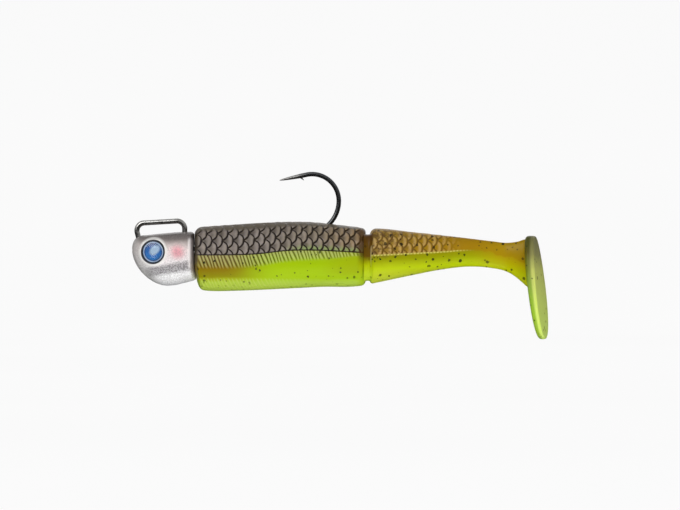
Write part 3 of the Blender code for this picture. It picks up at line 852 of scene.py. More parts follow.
@dataclass(frozen=True)
class FrontPlastic(SoftPlastic):
    """Front of the bait: brown scales over ribs, an amber patch, lime flanks and a paler belly."""

    @staticmethod
    def flank(shader: Shader, x: Value, z: Value, rough: Value) -> Socket:
        """Amber behind the head that turns to lime, duller before the joint."""
        amber = shader.along(z, [
            (-19.6, srgb(178, 204, 74)), (-17.3, srgb(172, 196, 66)), (-16.5, srgb(160, 172, 20)),
            (-15.8, srgb(138, 134, 0)), (-13.2, srgb(132, 104, 0)), (-12.4, srgb(134, 114, 24)),
            (-10.0, srgb(146, 129, 80)),
        ])
        lime = shader.along(z, [
            (-19.6, srgb(184, 212, 78)), (-17.3, srgb(174, 204, 70)), (-16.2, srgb(162, 194, 10)),
            (-12.0, srgb(153, 183, 0)), (-10.6, srgb(150, 180, 20)), (-8.6, srgb(154, 164, 74)),
        ])
        colour = shader.mix(amber, lime, NodeMaths.ease(18.0, 34.0, x + 3.0 * (rough - 0.5)))
        deep = NodeMaths.ease(44.0, 56.0, x) * NodeMaths.ease(-16.5, -14.0, z)
        return shader.mix(colour, srgb(150, 162, 0), deep * 0.7)

    @staticmethod
    def ribbed(shader: Shader, colour: Socket, x: Value, rib: Value, zone: Value) -> Socket:
        """A colour with pale rib tops and dark grooves laid over it, and pale fine ribs on the belly: painted
        highlight on the moulded ribs and painted shade in their grooves.
        """
        # painted highlight on the tops of the moulded ribs
        colour = shader.mix(colour, srgb(176, 180, 118), zone * NodeMaths.ease(0.3, 0.9, rib) * 0.55)
        # painted shade in the grooves between the ribs
        colour = shader.mix(colour, shader.along(x, [
            (10.0, srgb(84, 68, 34)), (30.0, srgb(76, 72, 34)), (58.0, srgb(110, 120, 44)),
        ]), zone * NodeMaths.fall(0.1, 0.45, rib) * 0.85)
        # painted highlight on the tops of the fine belly ribs
        low = shader.field("low_ribs")
        return shader.mix(colour, srgb(204, 214, 110), low * NodeMaths.ease(0.55, 0.95, rib) * 0.35)

    @staticmethod
    def scale_face(shader: Shader, rest: Socket, x: Value, v: Value, a: Value, low_side: Value) -> Socket:
        """Brown scales, greener at the band's lower edge, with a mottled tone, a painted shadow where the
        next scale's free edge overlaps each one, and dark free-edge lines that are painted shade in the gap
        under each edge, wider on a scale's lower side.
        """
        face = shader.along(x, [
            (10.0, srgb(128, 119, 111)), (30.0, srgb(130, 121, 114)), (46.0, srgb(134, 122, 104)),
            (58.0, srgb(148, 124, 92)),
        ])
        green = NodeMaths.ease(34.0, 42.0, x) * NodeMaths.fall(0.6, 2.2, v)
        face = shader.mix(face, srgb(128, 150, 84), green * 0.75)
        # painted shadow under the free edge of the scale that overlaps this one
        face = shader.mix(face, srgb(66, 58, 51), 0.75 * NodeMaths.ease(0.9, 2.2, a))
        tone = shader.noise(rest, 0.45, 2.0)
        face = shader.mix(face, srgb(164, 152, 142), 0.4 * NodeMaths.ease(0.45, 0.75, tone))
        # dark free-edge line: painted shade in the gap under each edge, wider on the scale's lower side and
        # along the band's lower edge
        line = shader.along(x, [(10.0, srgb(38, 32, 29)), (46.0, srgb(36, 30, 22)), (58.0, srgb(52, 38, 20))])
        edge = NodeMaths.minimum(a - 0.12 - 0.1 * NodeMaths.ease(0.4, 0.6, low_side), abs(v - 0.1) + 0.05)
        edge = edge + 0.35 * (shader.noise(rest, 1.2) - 0.5)
        return shader.mix(face, line, NodeMaths.fall(0.18, 0.5, edge))

    def colour(self, shader: Shader) -> tuple[Any, Value | float, Value]:
        """Bands of colour down the flank, which change along the body, with the pattern's lines."""
        x, _, z, rest = shader.place()
        v = shader.field("flank")
        rough = shader.noise(rest, 0.35)
        z = z + 0.7 * (rough - 0.5)
        colour = self.flank(shader, x, z, rough)
        rib = RIBS.read(NodeMaths, x, v)
        zone = shader.field("ribs")
        colour = self.ribbed(shader, colour, x, rib, zone)
        a, covered, low_side = SCALES.read(NodeMaths, x, v)
        face = self.scale_face(shader, rest, x, v, a, low_side)
        back = NodeMaths.ease(7.2, 8.4, v)
        face = shader.mix(face, srgb(92, 84, 72), back * 0.85)
        colour = shader.mix(colour, face, NodeMaths.maximum(covered, back))
        # painted shade in the joint's groove: the rear end of the front piece turns dark brown above and deep
        # lime below
        end = NodeMaths.ease(56.2, 58.0, x)
        dark = shader.along(z, [
            (-18.0, srgb(170, 200, 40)), (-12.5, srgb(150, 160, 0)),
            (-9.5, srgb(72, 48, 8)), (-2.0, srgb(74, 48, 12)),
        ])
        colour = shader.mix(colour, dark, end * 0.85)
        # painted shade in the gap against the head: the first millimetre behind the front face is darkened
        # above the belly
        front = NodeMaths.fall(10.6, 11.6, x)
        colour = shader.mix(colour, srgb(70, 60, 44), front * NodeMaths.ease(-13.5, -11.0, z) * 0.7)
        flakes = (1 - NodeMaths.maximum(covered, back)) * (0.55 + 0.45 * NodeMaths.ease(-17.5, -16.0, z))
        relief = -0.10 * covered * NodeMaths.fall(0.0, 0.5, a) + 0.05 * zone * rib
        return colour, flakes, relief


@dataclass(frozen=True)
class WebPlastic(SoftPlastic):
    """The thin web in the joint: dark amber above, lime below."""

    slot: str = "soft_plastic_web"

    def colour(self, shader: Shader) -> tuple[Any, Value | float, Value]:
        """One run of colour down the web, with a streaky grain."""
        _, _, z, rest = shader.place()
        grain = shader.noise(rest, 0.8)
        colour = shader.along(z + grain, [
            (-16.5, srgb(190, 214, 50)), (-12.0, srgb(172, 184, 0)),
            (-9.5, srgb(100, 74, 8)), (-4.0, srgb(84, 54, 8)),
        ])
        return colour, 0.5, 0.03 * grain


TAIL_SCALES_END = (78.0, 88.0)
LATERAL_END = (84.0, 91.0)
LATERAL: Knots = ((60, -9.75), (70, -9.25), (80, -8.75), (90, -8.25), (100, -10.0), (108, -12.5))
TAIL_SCALES = ScaleRows(pitch=2.85, row=2.2, radius=2.26, reach=1.5, lift=1.4, rows=3)


@dataclass(frozen=True)
class TailPlastic(SoftPlastic):
    """Tail: golden tan scales over a dashed pale line, lime flanks and an amber neck."""

    slot: str = "soft_plastic_tail"
    flake_cell: float = 1.55
    flake_size: float = 0.48
    glow: float = 0.3

    def colour(self, shader: Shader) -> tuple[Any, Value | float, Value]:
        """Tan above the lateral line and lime below it, turning amber towards the paddle."""
        x, _, _, rest = shader.place()
        v = shader.field("flank")
        noise = shader.noise(rest, 0.4)
        d = v + 0.5 * (noise - 0.5)
        upper = shader.along(x, [
            (61.0, srgb(138, 110, 46)), (74.0, srgb(148, 114, 14)), (83.0, srgb(154, 118, 6)),
            (90.0, srgb(154, 118, 0)), (98.0, srgb(164, 132, 0)), (106.0, srgb(158, 128, 0)),
        ])
        lime = shader.along(d, [
            (-8.0, srgb(190, 204, 56)), (-5.2, srgb(182, 196, 30)), (-4.0, srgb(178, 196, 2)),
            (-1.5, srgb(146, 152, 0)), (0.0, srgb(136, 132, 0)),
        ])
        neck = shader.along(d, [
            (-7.0, srgb(184, 192, 30)), (-3.6, srgb(178, 184, 6)),
            (-1.2, srgb(172, 158, 0)), (0.0, srgb(168, 146, 2)),
        ])
        lower = shader.mix(lime, neck, NodeMaths.ease(86.0, 99.0, x + 3.0 * (noise - 0.5)))
        uneven = d + NodeMaths.ease(84.0, 94.0, x) * (noise - 0.5) * 2
        colour = shader.mix(lower, upper, NodeMaths.ease(-0.35, 0.35, uneven))
        a, covered, low_side = TAIL_SCALES.read(NodeMaths, x, v)
        fade = NodeMaths.fall(*TAIL_SCALES_END, x) * covered
        # dark free-edge lines: painted shade in the gap under each scale's edge, wider on its lower side
        edge = a - 0.2 * NodeMaths.ease(0.45, 0.65, low_side)
        colour = shader.mix(colour, srgb(100, 72, 26), fade * NodeMaths.fall(0.12, 0.5, edge) * 0.85)
        # painted highlight across each scale's face near its free edge
        painted_face_highlight = NodeMaths.ease(0.4, 0.8, a) * NodeMaths.fall(0.9, 1.8, a)
        colour = shader.mix(colour, srgb(190, 158, 96), fade * painted_face_highlight * 0.6)
        mottle = NodeMaths.ease(0.44, 0.62, shader.noise(rest, 0.95, 3.0)) * NodeMaths.ease(-2.0, 1.0, v)
        colour = shader.mix(colour, srgb(86, 62, 34), mottle * NodeMaths.fall(62.0, 78.0, x) * 0.75)
        dash = NodeMaths.ease(0.25, 0.6, 0.5 + 0.5 * NodeMaths.cos(x * (TURN / 0.95)))
        line = NodeMaths.fall(0.1, 0.3, abs(v)) * NodeMaths.fall(*LATERAL_END, x)
        line = line * (0.35 + 0.65 * dash)
        colour = shader.mix(colour, srgb(206, 200, 98), line * 0.8)
        # painted highlight: a pale line along the tail's front edge beside the groove
        rim = NodeMaths.fall(60.45, 61.1, x)
        colour = shader.mix(colour, shader.along(v, [
            (-7.0, srgb(186, 200, 70)), (-2.0, srgb(172, 176, 60)),
            (0.0, srgb(176, 160, 110)), (7.0, srgb(172, 148, 110)),
        ]), rim * 0.7)
        relief = -0.08 * fade * NodeMaths.fall(0.0, 0.5, a) + 0.06 * line
        return colour, 1.0, relief


@dataclass(frozen=True)
class PaddlePlastic(SoftPlastic):
    """Paddle: dark olive at the top running to yellow-green, with its back face painted paler than its front
    and rim, as a lit copy of the same plastic.
    """

    slot: str = "soft_plastic_paddle"
    flake_cell: float = 2.0
    flake_size: float = 0.5
    glow: float = 0.35

    def colour(self, shader: Shader) -> tuple[Any, Value | float, Value]:
        """One run of colour down the rim and front, another, paler one down the back face, which is painted
        light on the same plastic.
        """
        _, _, z, rest = shader.place()
        noise = shader.noise(rest, 0.3)
        z = z + 1.2 * (noise - 0.5)
        rim = shader.along(z, [
            (-33.7, srgb(152, 182, 60)), (-26.0, srgb(150, 186, 50)), (-19.0, srgb(140, 170, 64)),
            (-14.0, srgb(124, 134, 38)), (-9.0, srgb(88, 82, 10)), (-4.5, srgb(76, 78, 30)),
        ])
        back = shader.along(z, [
            (-33.7, srgb(204, 228, 110)), (-27.0, srgb(202, 224, 108)), (-20.0, srgb(198, 212, 106)),
            (-14.0, srgb(188, 194, 100)), (-9.5, srgb(136, 134, 78)), (-4.5, srgb(112, 110, 70)),
        ])
        # painted light: the back face takes the paler run of the same plastic
        colour = shader.mix(rim, back, NodeMaths.ease(0.45, 0.75, shader.field("behind")))
        return colour, 0.9, 0.02 * noise


@dataclass(frozen=True)
class CastPaint(Finish):
    """Pearl silver paint on a cast head, with a dark speckled band along the cheek crease that is partly
    painted shade, a pink cheek and a dark back; painted highlights round each eye socket and on the cheek's
    rear strip, and a painted shadow in each socket.
    """

    slot: str = "cast_silver"

    def material(self) -> bpy.types.Material:
        """Paint whose tones follow the head's own places, over a fine metallic grain."""
        shader = Shader(self.slot)
        x, y, z, rest = shader.place()
        grain = shader.noise(rest, 5.0, 3.0)
        cloud = shader.noise(rest, 0.6)
        soft = z + 0.8 * (cloud - 0.5)
        colour = shader.along(soft, [
            (-18.4, srgb(246, 247, 248)), (-16.8, srgb(250, 250, 250)), (-15.2, srgb(254, 254, 254)),
            (-14.2, srgb(246, 245, 246)), (-11.2, srgb(244, 236, 236)), (-8.0, srgb(232, 214, 212)),
            (-6.4, srgb(184, 170, 166)), (-5.0, srgb(112, 104, 100)), (-3.4, srgb(80, 74, 69)),
        ])
        nose = NodeMaths.fall(-7.0, -3.6, x + 0.45 * (z + 8.2))
        colour = shader.mix(colour, srgb(206, 205, 202), nose * 0.7)
        dx, dz = x - 5.2, z + 8.66
        spread = NodeMaths.sqrt(dx * dx + dz * dz) + 0.9 * (cloud - 0.5) + 0.7 * (grain - 0.5)
        blush = NodeMaths.fall(0.4, 2.9, spread) * NodeMaths.ease(2.0, 4.0, abs(y))
        colour = shader.mix(colour, srgb(226, 140, 152), blush * 0.8)
        # dark band along the cheek crease: speckled paint and painted shade in the crease
        middle = -13.65 + 0.17 * (x - 2.0)
        band = NodeMaths.fall(0.6, 2.1, abs(z - middle) + 0.5 * (cloud - 0.5))
        band = band * NodeMaths.ease(-6.0, -2.0, x) * NodeMaths.ease(2.0, 4.0, abs(y))
        dust = NodeMaths.ease(0.44, 0.58, shader.noise(rest, 3.4, 2.0))
        colour = shader.mix(colour, srgb(80, 76, 80), band * (0.6 + 0.4 * dust) * 0.88)
        colour = shader.mix(colour, srgb(140, 132, 134), dust * 0.35)
        # painted light on the cheek's rear strip, which lifts the shade where the head turns towards its rear
        # face
        edge = NodeMaths.ease(7.8, 8.6, x) * 0.7 * NodeMaths.ease(-14.5, -12.5, z)
        edge = edge * NodeMaths.fall(-5.5, -4.2, z)
        colour = shader.mix(colour, srgb(240, 234, 232), edge)
        eye = shader.field("eye")
        # painted highlight on the raised rim round the eye socket
        painted_socket_highlight = NodeMaths.fall(3.9, 4.6, eye) * NodeMaths.ease(3.4, 3.6, eye)
        colour = shader.mix(colour, srgb(236, 234, 230), painted_socket_highlight * 0.75)
        # painted shadow in the eye socket round the foil
        colour = shader.mix(colour, srgb(40, 42, 48), NodeMaths.fall(3.42, 3.6, eye) * 0.95)
        metal = 0.1 + 0.12 * grain
        gloss = 0.36 + 0.16 * grain
        normal = shader.bump(0.012 * grain + 0.02 * cloud, MM)
        return shader.close(shader.principled(
            Base_Color=colour, Metallic=metal, Roughness=gloss, Normal=normal, Coat_Weight=0.35,
            Coat_Roughness=0.15,
        ))


@dataclass(frozen=True)
class BrightWire(Finish):
    """Drawn stainless wire: bright metal with faint lengthwise drawing marks."""

    slot: str = "stainless_wire"

    def material(self) -> bpy.types.Material:
        """Metal whose tone and roughness change slowly along the wire."""
        shader = Shader(self.slot)
        rest = shader.place()[3]
        along = shader.field("along")
        stretched = shader.vector(along * 0.25, shader.noise(rest, 2.0), 0.0)
        marks = shader.noise(stretched, 3.0, 3.0)
        colour = shader.mix(srgb(162, 160, 157), srgb(194, 193, 190), NodeMaths.ease(0.3, 0.7, marks))
        return shader.close(shader.principled(
            Base_Color=colour, Metallic=1.0, Roughness=0.22 + 0.06 * marks,
            Normal=shader.bump(0.001 * marks, MM),
        ))


@dataclass(frozen=True)
class BlackNickel(Finish):
    """Smoked plating on the hook, with the ground steel of the point showing lighter."""

    slot: str = "black_nickel"

    def material(self) -> bpy.types.Material:
        """Dark metal that turns to grey steel over the last millimetres before the point."""
        shader = Shader(self.slot)
        rest = shader.place()[3]
        left = shader.field("left")
        grain = shader.noise(rest, 2.5, 3.0)
        colour = shader.mix(srgb(66, 68, 70), srgb(96, 98, 98), NodeMaths.ease(0.35, 0.7, grain))
        ground = NodeMaths.fall(3.0, 9.0, left + 2.0 * (grain - 0.5))
        colour = shader.mix(colour, srgb(150, 148, 145), ground * 0.8)
        gloss = 0.2 + 0.12 * grain + 0.1 * ground
        return shader.close(shader.principled(
            Base_Color=colour, Metallic=0.95, Roughness=gloss, Normal=shader.bump(0.008 * grain, MM),
            Coat_Weight=0.3,
        ))


@dataclass(frozen=True)
class BlueFoil(Finish):
    """Printed foil of the eye: dark pupil, blue iris with fine rays, a painted glint, a pale ring and a dark
    rim that is painted shade of the socket gap.
    """

    slot: str = "blue_foil"

    def material(self) -> bpy.types.Material:
        """Rings of colour by the distance from the eye's middle, with rays by the angle round it."""
        shader = Shader(self.slot)
        radius = shader.field("radius")
        across, up = shader.field("across"), shader.field("up")
        unit = 1 / NodeMaths.maximum(radius, 0.05)
        rays = shader.noise(shader.vector(across * unit * 3.0, up * unit * 3.0, radius * 0.15), 2.2, 2.0)
        blue = shader.along(up + 0.5 * (rays - 0.5), [
            (-2.6, srgb(20, 130, 200)), (-0.6, srgb(24, 116, 190)),
            (1.0, srgb(30, 96, 166)), (2.6, srgb(36, 78, 140)),
        ])
        blue = shader.mix(blue, srgb(14, 50, 104), NodeMaths.ease(2.1, 2.6, radius) * 0.8)
        blue = shader.mix(blue, srgb(96, 160, 214), NodeMaths.ease(0.5, 0.9, rays) * 0.15)
        colour = shader.mix(blue, srgb(12, 30, 70), NodeMaths.fall(0.85, 1.0, radius))
        # painted reflection: a soft pale glint up and across from the iris's middle
        gx, gz = across - 0.45, up - 0.55
        near = NodeMaths.sqrt((gx * 0.75 + gz * 0.66) ** 2.0 * 0.45 + (gx * 0.66 - gz * 0.75) ** 2.0)
        colour = shader.mix(colour, srgb(206, 222, 232), NodeMaths.fall(0.75, 1.5, near) * 0.92)
        ring = NodeMaths.ease(2.55, 2.7, radius) * NodeMaths.fall(2.88, 3.0, radius)
        colour = shader.mix(colour, srgb(196, 208, 224), ring)
        # painted shade in the gap between the foil's edge and the socket wall
        colour = shader.mix(colour, srgb(30, 36, 52), NodeMaths.ease(2.9, 3.02, radius))
        return shader.close(shader.principled(
            Base_Color=colour, Metallic=0.1, Roughness=0.5 + 0.15 * rays,
            Normal=shader.bump(0.006 * rays, MM),
        ))


@dataclass(frozen=True)
class ClearResin(Finish):
    """Clear dome over the foil: see-through, with gloss that rises where the surface turns away.

    The gloss is Schlick's law, 0.04 + 0.9 * facing**5, which is the same from inside and outside.
    """

    slot: str = "clear_resin"

    def material(self) -> bpy.types.Material:
        """A transparent shader and a sharp glossy one, shared by the gloss law and a faint haze."""
        shader = Shader(self.slot)
        rest = shader.place()[3]
        haze = shader.noise(rest, 0.7)
        facing = shader.value(shader.node("ShaderNodeLayerWeight", Blend=0.5).outputs["Facing"])
        clear = shader.node("ShaderNodeBsdfTransparent", Color=srgb(244, 248, 252))
        gloss = shader.node("ShaderNodeBsdfGlossy", Color=(1.0, 1.0, 1.0), Roughness=0.2)
        share = NodeMaths.minimum(0.04 + 0.9 * facing**5.0 + 0.02 * haze, 1.0)
        mixed = shader.node("ShaderNodeMixShader", n0=share, n1=clear.outputs[0], n2=gloss.outputs[0])
        return shader.close(mixed)


@dataclass(frozen=True)
class MouldedKeeper(Finish):
    """Dark moulded plastic of the keeper sleeve, with a dull scuffed grain."""

    slot: str = "keeper_plastic"

    def material(self) -> bpy.types.Material:
        """Near-black plastic with scuffs that are paler and rougher."""
        shader = Shader(self.slot)
        place = shader.node("ShaderNodeTexCoord").outputs["Object"]
        grain = shader.noise(place, 900.0, 3.0)
        colour = shader.mix(srgb(34, 34, 33), srgb(78, 77, 74), NodeMaths.ease(0.55, 0.8, grain))
        return shader.close(shader.principled(
            Base_Color=colour, Roughness=0.42 + 0.25 * grain, Normal=shader.bump(0.02 * grain, MM),
        ))


# ---------------------------------------------------------------- sub-assemblies


@dataclass
class Head:
    """Cast head: a blunt nose, full cheeks with a crease under them, and a rounded rear face.

    Lengths are in millimetres.

    Attributes:
        nose: tip of the nose.
        rear: how far back the rear face stands.
        half_width: widest half width.
        nose_run: length over which the cheeks fill out behind the nose.
        crown: height of the top behind the nose.
        keel: height of the bottom behind the nose.
        corner: radius of the rear face's upper edge.
        face_round: radius of the rear face seen from above.
        eye_middle: point on the centre plane that both eyes face away from.
        toe_in: how far the eyes look forwards, in degrees.
        socket: radius of an eye's socket.
        socket_floor: distance of the socket's floor from the centre plane.
        pocket: radius of the pocket round the hook's eye.
        pocket_height: height of that pocket.
        rows: steps along the nose, the cheek and the rear face.
        columns: steps round the head.
    """

    nose: Point = (-8.16, 0.0, -8.2)
    rear: float = 9.75
    half_width: float = 5.85
    nose_run: float = 9.2
    crown: Knots = ((-4, -3.87), (1.2, -3.32), (7.67, -2.86), (9.75, -2.8))
    keel: Knots = ((1.8, -18.32), (4.2, -18.15), (7, -17.45), (9.75, -16.7))
    corner: float = 1.1
    face_round: float = 20.0
    eye_middle: Point = (-1.15, 0.0, -8.66)
    toe_in: float = 8.0
    socket: float = 3.45
    socket_floor: float = 4.35
    pocket: float = 2.6
    pocket_height: float = 2.0
    rows: tuple[int, int, int] = (120, 84, 60)
    columns: int = 260

    def facing(self, side: int) -> Array:
        """Direction that the eye on a side (-1 or 1) faces."""
        angle = np.radians(self.toe_in)
        return np.array([-np.sin(angle), side * np.cos(angle), 0.0])

    def stations(self) -> Array:
        """Places of the sections: close at the nose, even on the cheek, even across the rear face."""
        nose = self.nose[0] + self.nose_run * (1 - np.cos(np.radians(np.linspace(2, 84, self.rows[0]))))
        half = np.linspace(self.half_width - 0.05, 0.02, self.rows[2])
        face = self.rear - self.face_round + np.sqrt(self.face_round**2 - half**2)
        cheek = np.linspace(nose[-1], face[0], self.rows[1] + 2)[1:-1]
        return np.concatenate([nose, cheek, face])

    def skin(self) -> Array:
        """The head's plain form: superellipse quarters from the nose to its crown and keel curves."""
        x = self.stations()
        along = x - self.nose[0]
        level = self.nose[2]
        above = smooth_curve(self.crown, x) - level
        below = smooth_curve(self.keel, x) - level
        lost = 1 - quarter(self.rear + 0.02 - x, self.corner)
        top = level + above * quarter(along, 4.2, 2.6) - self.corner * lost
        bottom = level + below * quarter(along, 9.96, 1.75) + 0.5 * lost
        widest = level - 1.4 * quarter(along, 8)
        side = self.half_width * quarter(along, self.nose_run, 2.4)
        reach = np.clip(x - self.rear + self.face_round, 0, self.face_round)
        face = np.sqrt(self.face_round**2 - reach**2)
        width = (side**-14.0 + face**-14.0) ** (-1 / 14)
        points = section_grid(x, width, top, bottom, widest, self.columns)
        points[..., 0] += face_lean(points[..., 0], points[..., 2])
        return points

    def carve(self, points: Array) -> tuple[Array, Array]:
        """Add the crease, the parting line, the eye sockets and the pocket.

        The crease is a bell curve of the height above a slanting line, 0.35 deep. The parting line is a
        bell curve of the distance from the centre plane. Inside a socket every point goes back to its floor,
        and in the pocket every point goes forwards to a round wall.

        Args:
            points: the plain form.

        Returns:
            The carved form, and each point's distance from the nearer eye's middle line.
        """
        x, y, z = np.moveaxis(points, -1, 0)
        low = z - (-13.55 + 0.135 * (x - 2.0))
        fade = ease(-6.5, -1.5, x) * fall(8.2, 9.3, x) * ease(1.5, 4.0, np.abs(y))
        relief = -0.38 * np.exp(-((low / 0.8) ** 2)) * fade
        relief += 0.07 * np.exp(-((y / 0.16) ** 2)) * fall(7.5, 8.3, x)
        middle = np.array(self.eye_middle)
        side = np.where(y < 0, -1, 1)
        facing = np.where((side < 0)[..., None], self.facing(-1), self.facing(1))
        away = points - middle
        depth = (away * facing).sum(-1)
        eye = np.linalg.norm(away - depth[..., None] * facing, axis=-1)
        relief += 0.16 * np.exp(-(((eye - 3.85) / 0.3) ** 2))
        carved = points + relief[..., None] * outward(points)
        drop = np.clip(depth - self.socket_floor, 0, None)
        drop = drop * fall(self.socket - 0.12, self.socket + 0.04, eye)
        carved -= drop[..., None] * facing
        swing = joint_mm("head_swing")
        inside = (x > 8.6) & (np.abs(y) < self.pocket) & (np.abs(z - swing[2]) < self.pocket_height / 2)
        wall = swing[0] - np.sqrt(np.clip(self.pocket**2 - y**2, 0, None))
        carved[..., 0] = np.where(inside, wall, carved[..., 0])
        return carved, eye

    def build(self) -> bpy.types.Object:
        """Make the head and tie it to the frame."""
        points, eye = self.carve(self.skin())
        head = Surface("head_shell", points, {"eye": eye}).build()
        CastPaint().dress(head)
        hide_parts("head_casting")
        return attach(head, "head")


def face_lean(x: Array, z: Array) -> Array:
    """How far the facing ends lean back below -12 mm, fading to nothing 4 mm from the face.

    The lean is 0.6 * depth**1.5, where depth is counted in steps of 4.5 mm and held at 1.3.
    """
    depth = np.clip((-12 - z) / 4.5, 0, 1.3)
    near = np.clip(1 - np.abs(x - 9.75) / 4, 0, 1)
    return 0.6 * depth**1.5 * near


class Side(Enum):
    """The two sides of the bait, by the sign of their Y."""

    LEFT = -1
    RIGHT = 1


@dataclass
class Eye:
    """One eye: a printed foil disc under a clear dome, set in the head's socket.

    Attributes:
        head: the head that holds it.
        side: which side it is on.
        radius: radius of the disc and the dome, in millimetres.
        thick: thickness of the disc.
        height: height of the dome.
        rim: height of the dome's upright edge.
        gap: gap under each piece.
    """

    head: Head
    side: Side
    radius: float = 3.2
    thick: float = 0.3
    height: float = 1.15
    rim: float = 0.25
    gap: float = 0.1

    def piece(self, name: str, profile: Array, lift: float) -> bpy.types.Object:
        """A turned piece that stands on the socket's floor, with its places round the eye in fields."""
        facing = self.head.facing(self.side.value)
        centre = np.array(self.head.eye_middle) + facing * (self.head.socket_floor + lift)
        form = turned(name, profile, centre, facing)
        away = form.points - centre
        away = away - (away * facing).sum(-1, keepdims=True) * facing
        form.fields["radius"] = np.linalg.norm(away, axis=-1)
        form.fields["up"] = away[..., 2]
        form.fields["across"] = away[..., 0]
        return form.build()

    def build(self) -> list[bpy.types.Object]:
        """Make the disc and the dome of this side."""
        word = self.side.name.lower()
        share = np.concatenate([[0.002], np.linspace(0.05, 0.985, 26), [1.0]])
        disc = [(self.radius * s, self.thick) for s in share]
        disc += [(self.radius, self.thick * 0.8), (self.radius, 0.05), (self.radius * 0.98, 0.0), (0.01, 0.0)]
        foil = self.piece(word + "_iris_foil", np.array(disc), self.gap)
        BlueFoil().dress(foil)
        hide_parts(word + "_iris_disc")
        turn = np.linspace(TURN / 4 - 0.01, 0, 24)
        rise = self.rim + (self.height - self.rim) * np.sin(turn)
        dome = np.stack([self.radius * np.cos(turn), rise], axis=1)
        dome = np.concatenate([dome, [(self.radius, 0.2), (self.radius, 0.0), (0.01, 0.0)]])
        lens = self.piece(word + "_eye_dome", dome, self.gap * 2 + self.thick)
        ClearResin().dress(lens)
        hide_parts(word + "_eye_lens")
        return [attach(foil, "head"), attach(lens, "head")]


@dataclass
class LineTie:
    """Bent stainless wire cast into the head, with its top run where the line is tied.

    Attributes:
        wire: radius of the wire, in millimetres.
        slope: rise of the top run for each millimetre along it.
        bend: radius of its upper bends.
        foot_bend: radius of its hidden lower bend.
        run: how far the top run reaches in front of the tie point.
        front_leg: length of the front leg.
        front_lean: direction of the front leg, upwards.
        foot: hidden end of the rear leg.
    """

    wire: float = 0.75
    slope: float = 0.059
    bend: float = 2.2
    foot_bend: float = 1.3
    run: float = 7.41
    front_leg: float = 9.6
    front_lean: Point = (-0.241, 0.0, 0.970)
    foot: Point = (3.8, 0.0, -14.8)

    def build(self) -> bpy.types.Object:
        """Make the wire from its front foot, over the top run, down the rear leg."""
        tie = np.array(frame["record"]["mounts"][0]["pos_m"]) / MM
        swing = joint_mm("head_swing")[0]
        front = tie + np.array([-self.run, 0.0, -self.run * self.slope])
        start = front - self.front_leg * np.array(self.front_lean)
        rear = tie + np.array([swing, 0.0, swing * self.slope])
        end = np.array(self.foot)
        low = np.array([swing, 0.0, end[2]])
        path = bent_wire([start, front, rear, low, end], [self.bend, self.bend, self.foot_bend])
        wire = sweep("tie_wire", path, blunt_ends(path, self.wire)).build()
        BrightWire().dress(wire)
        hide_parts("line_tie_bail")
        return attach(wire, "head")


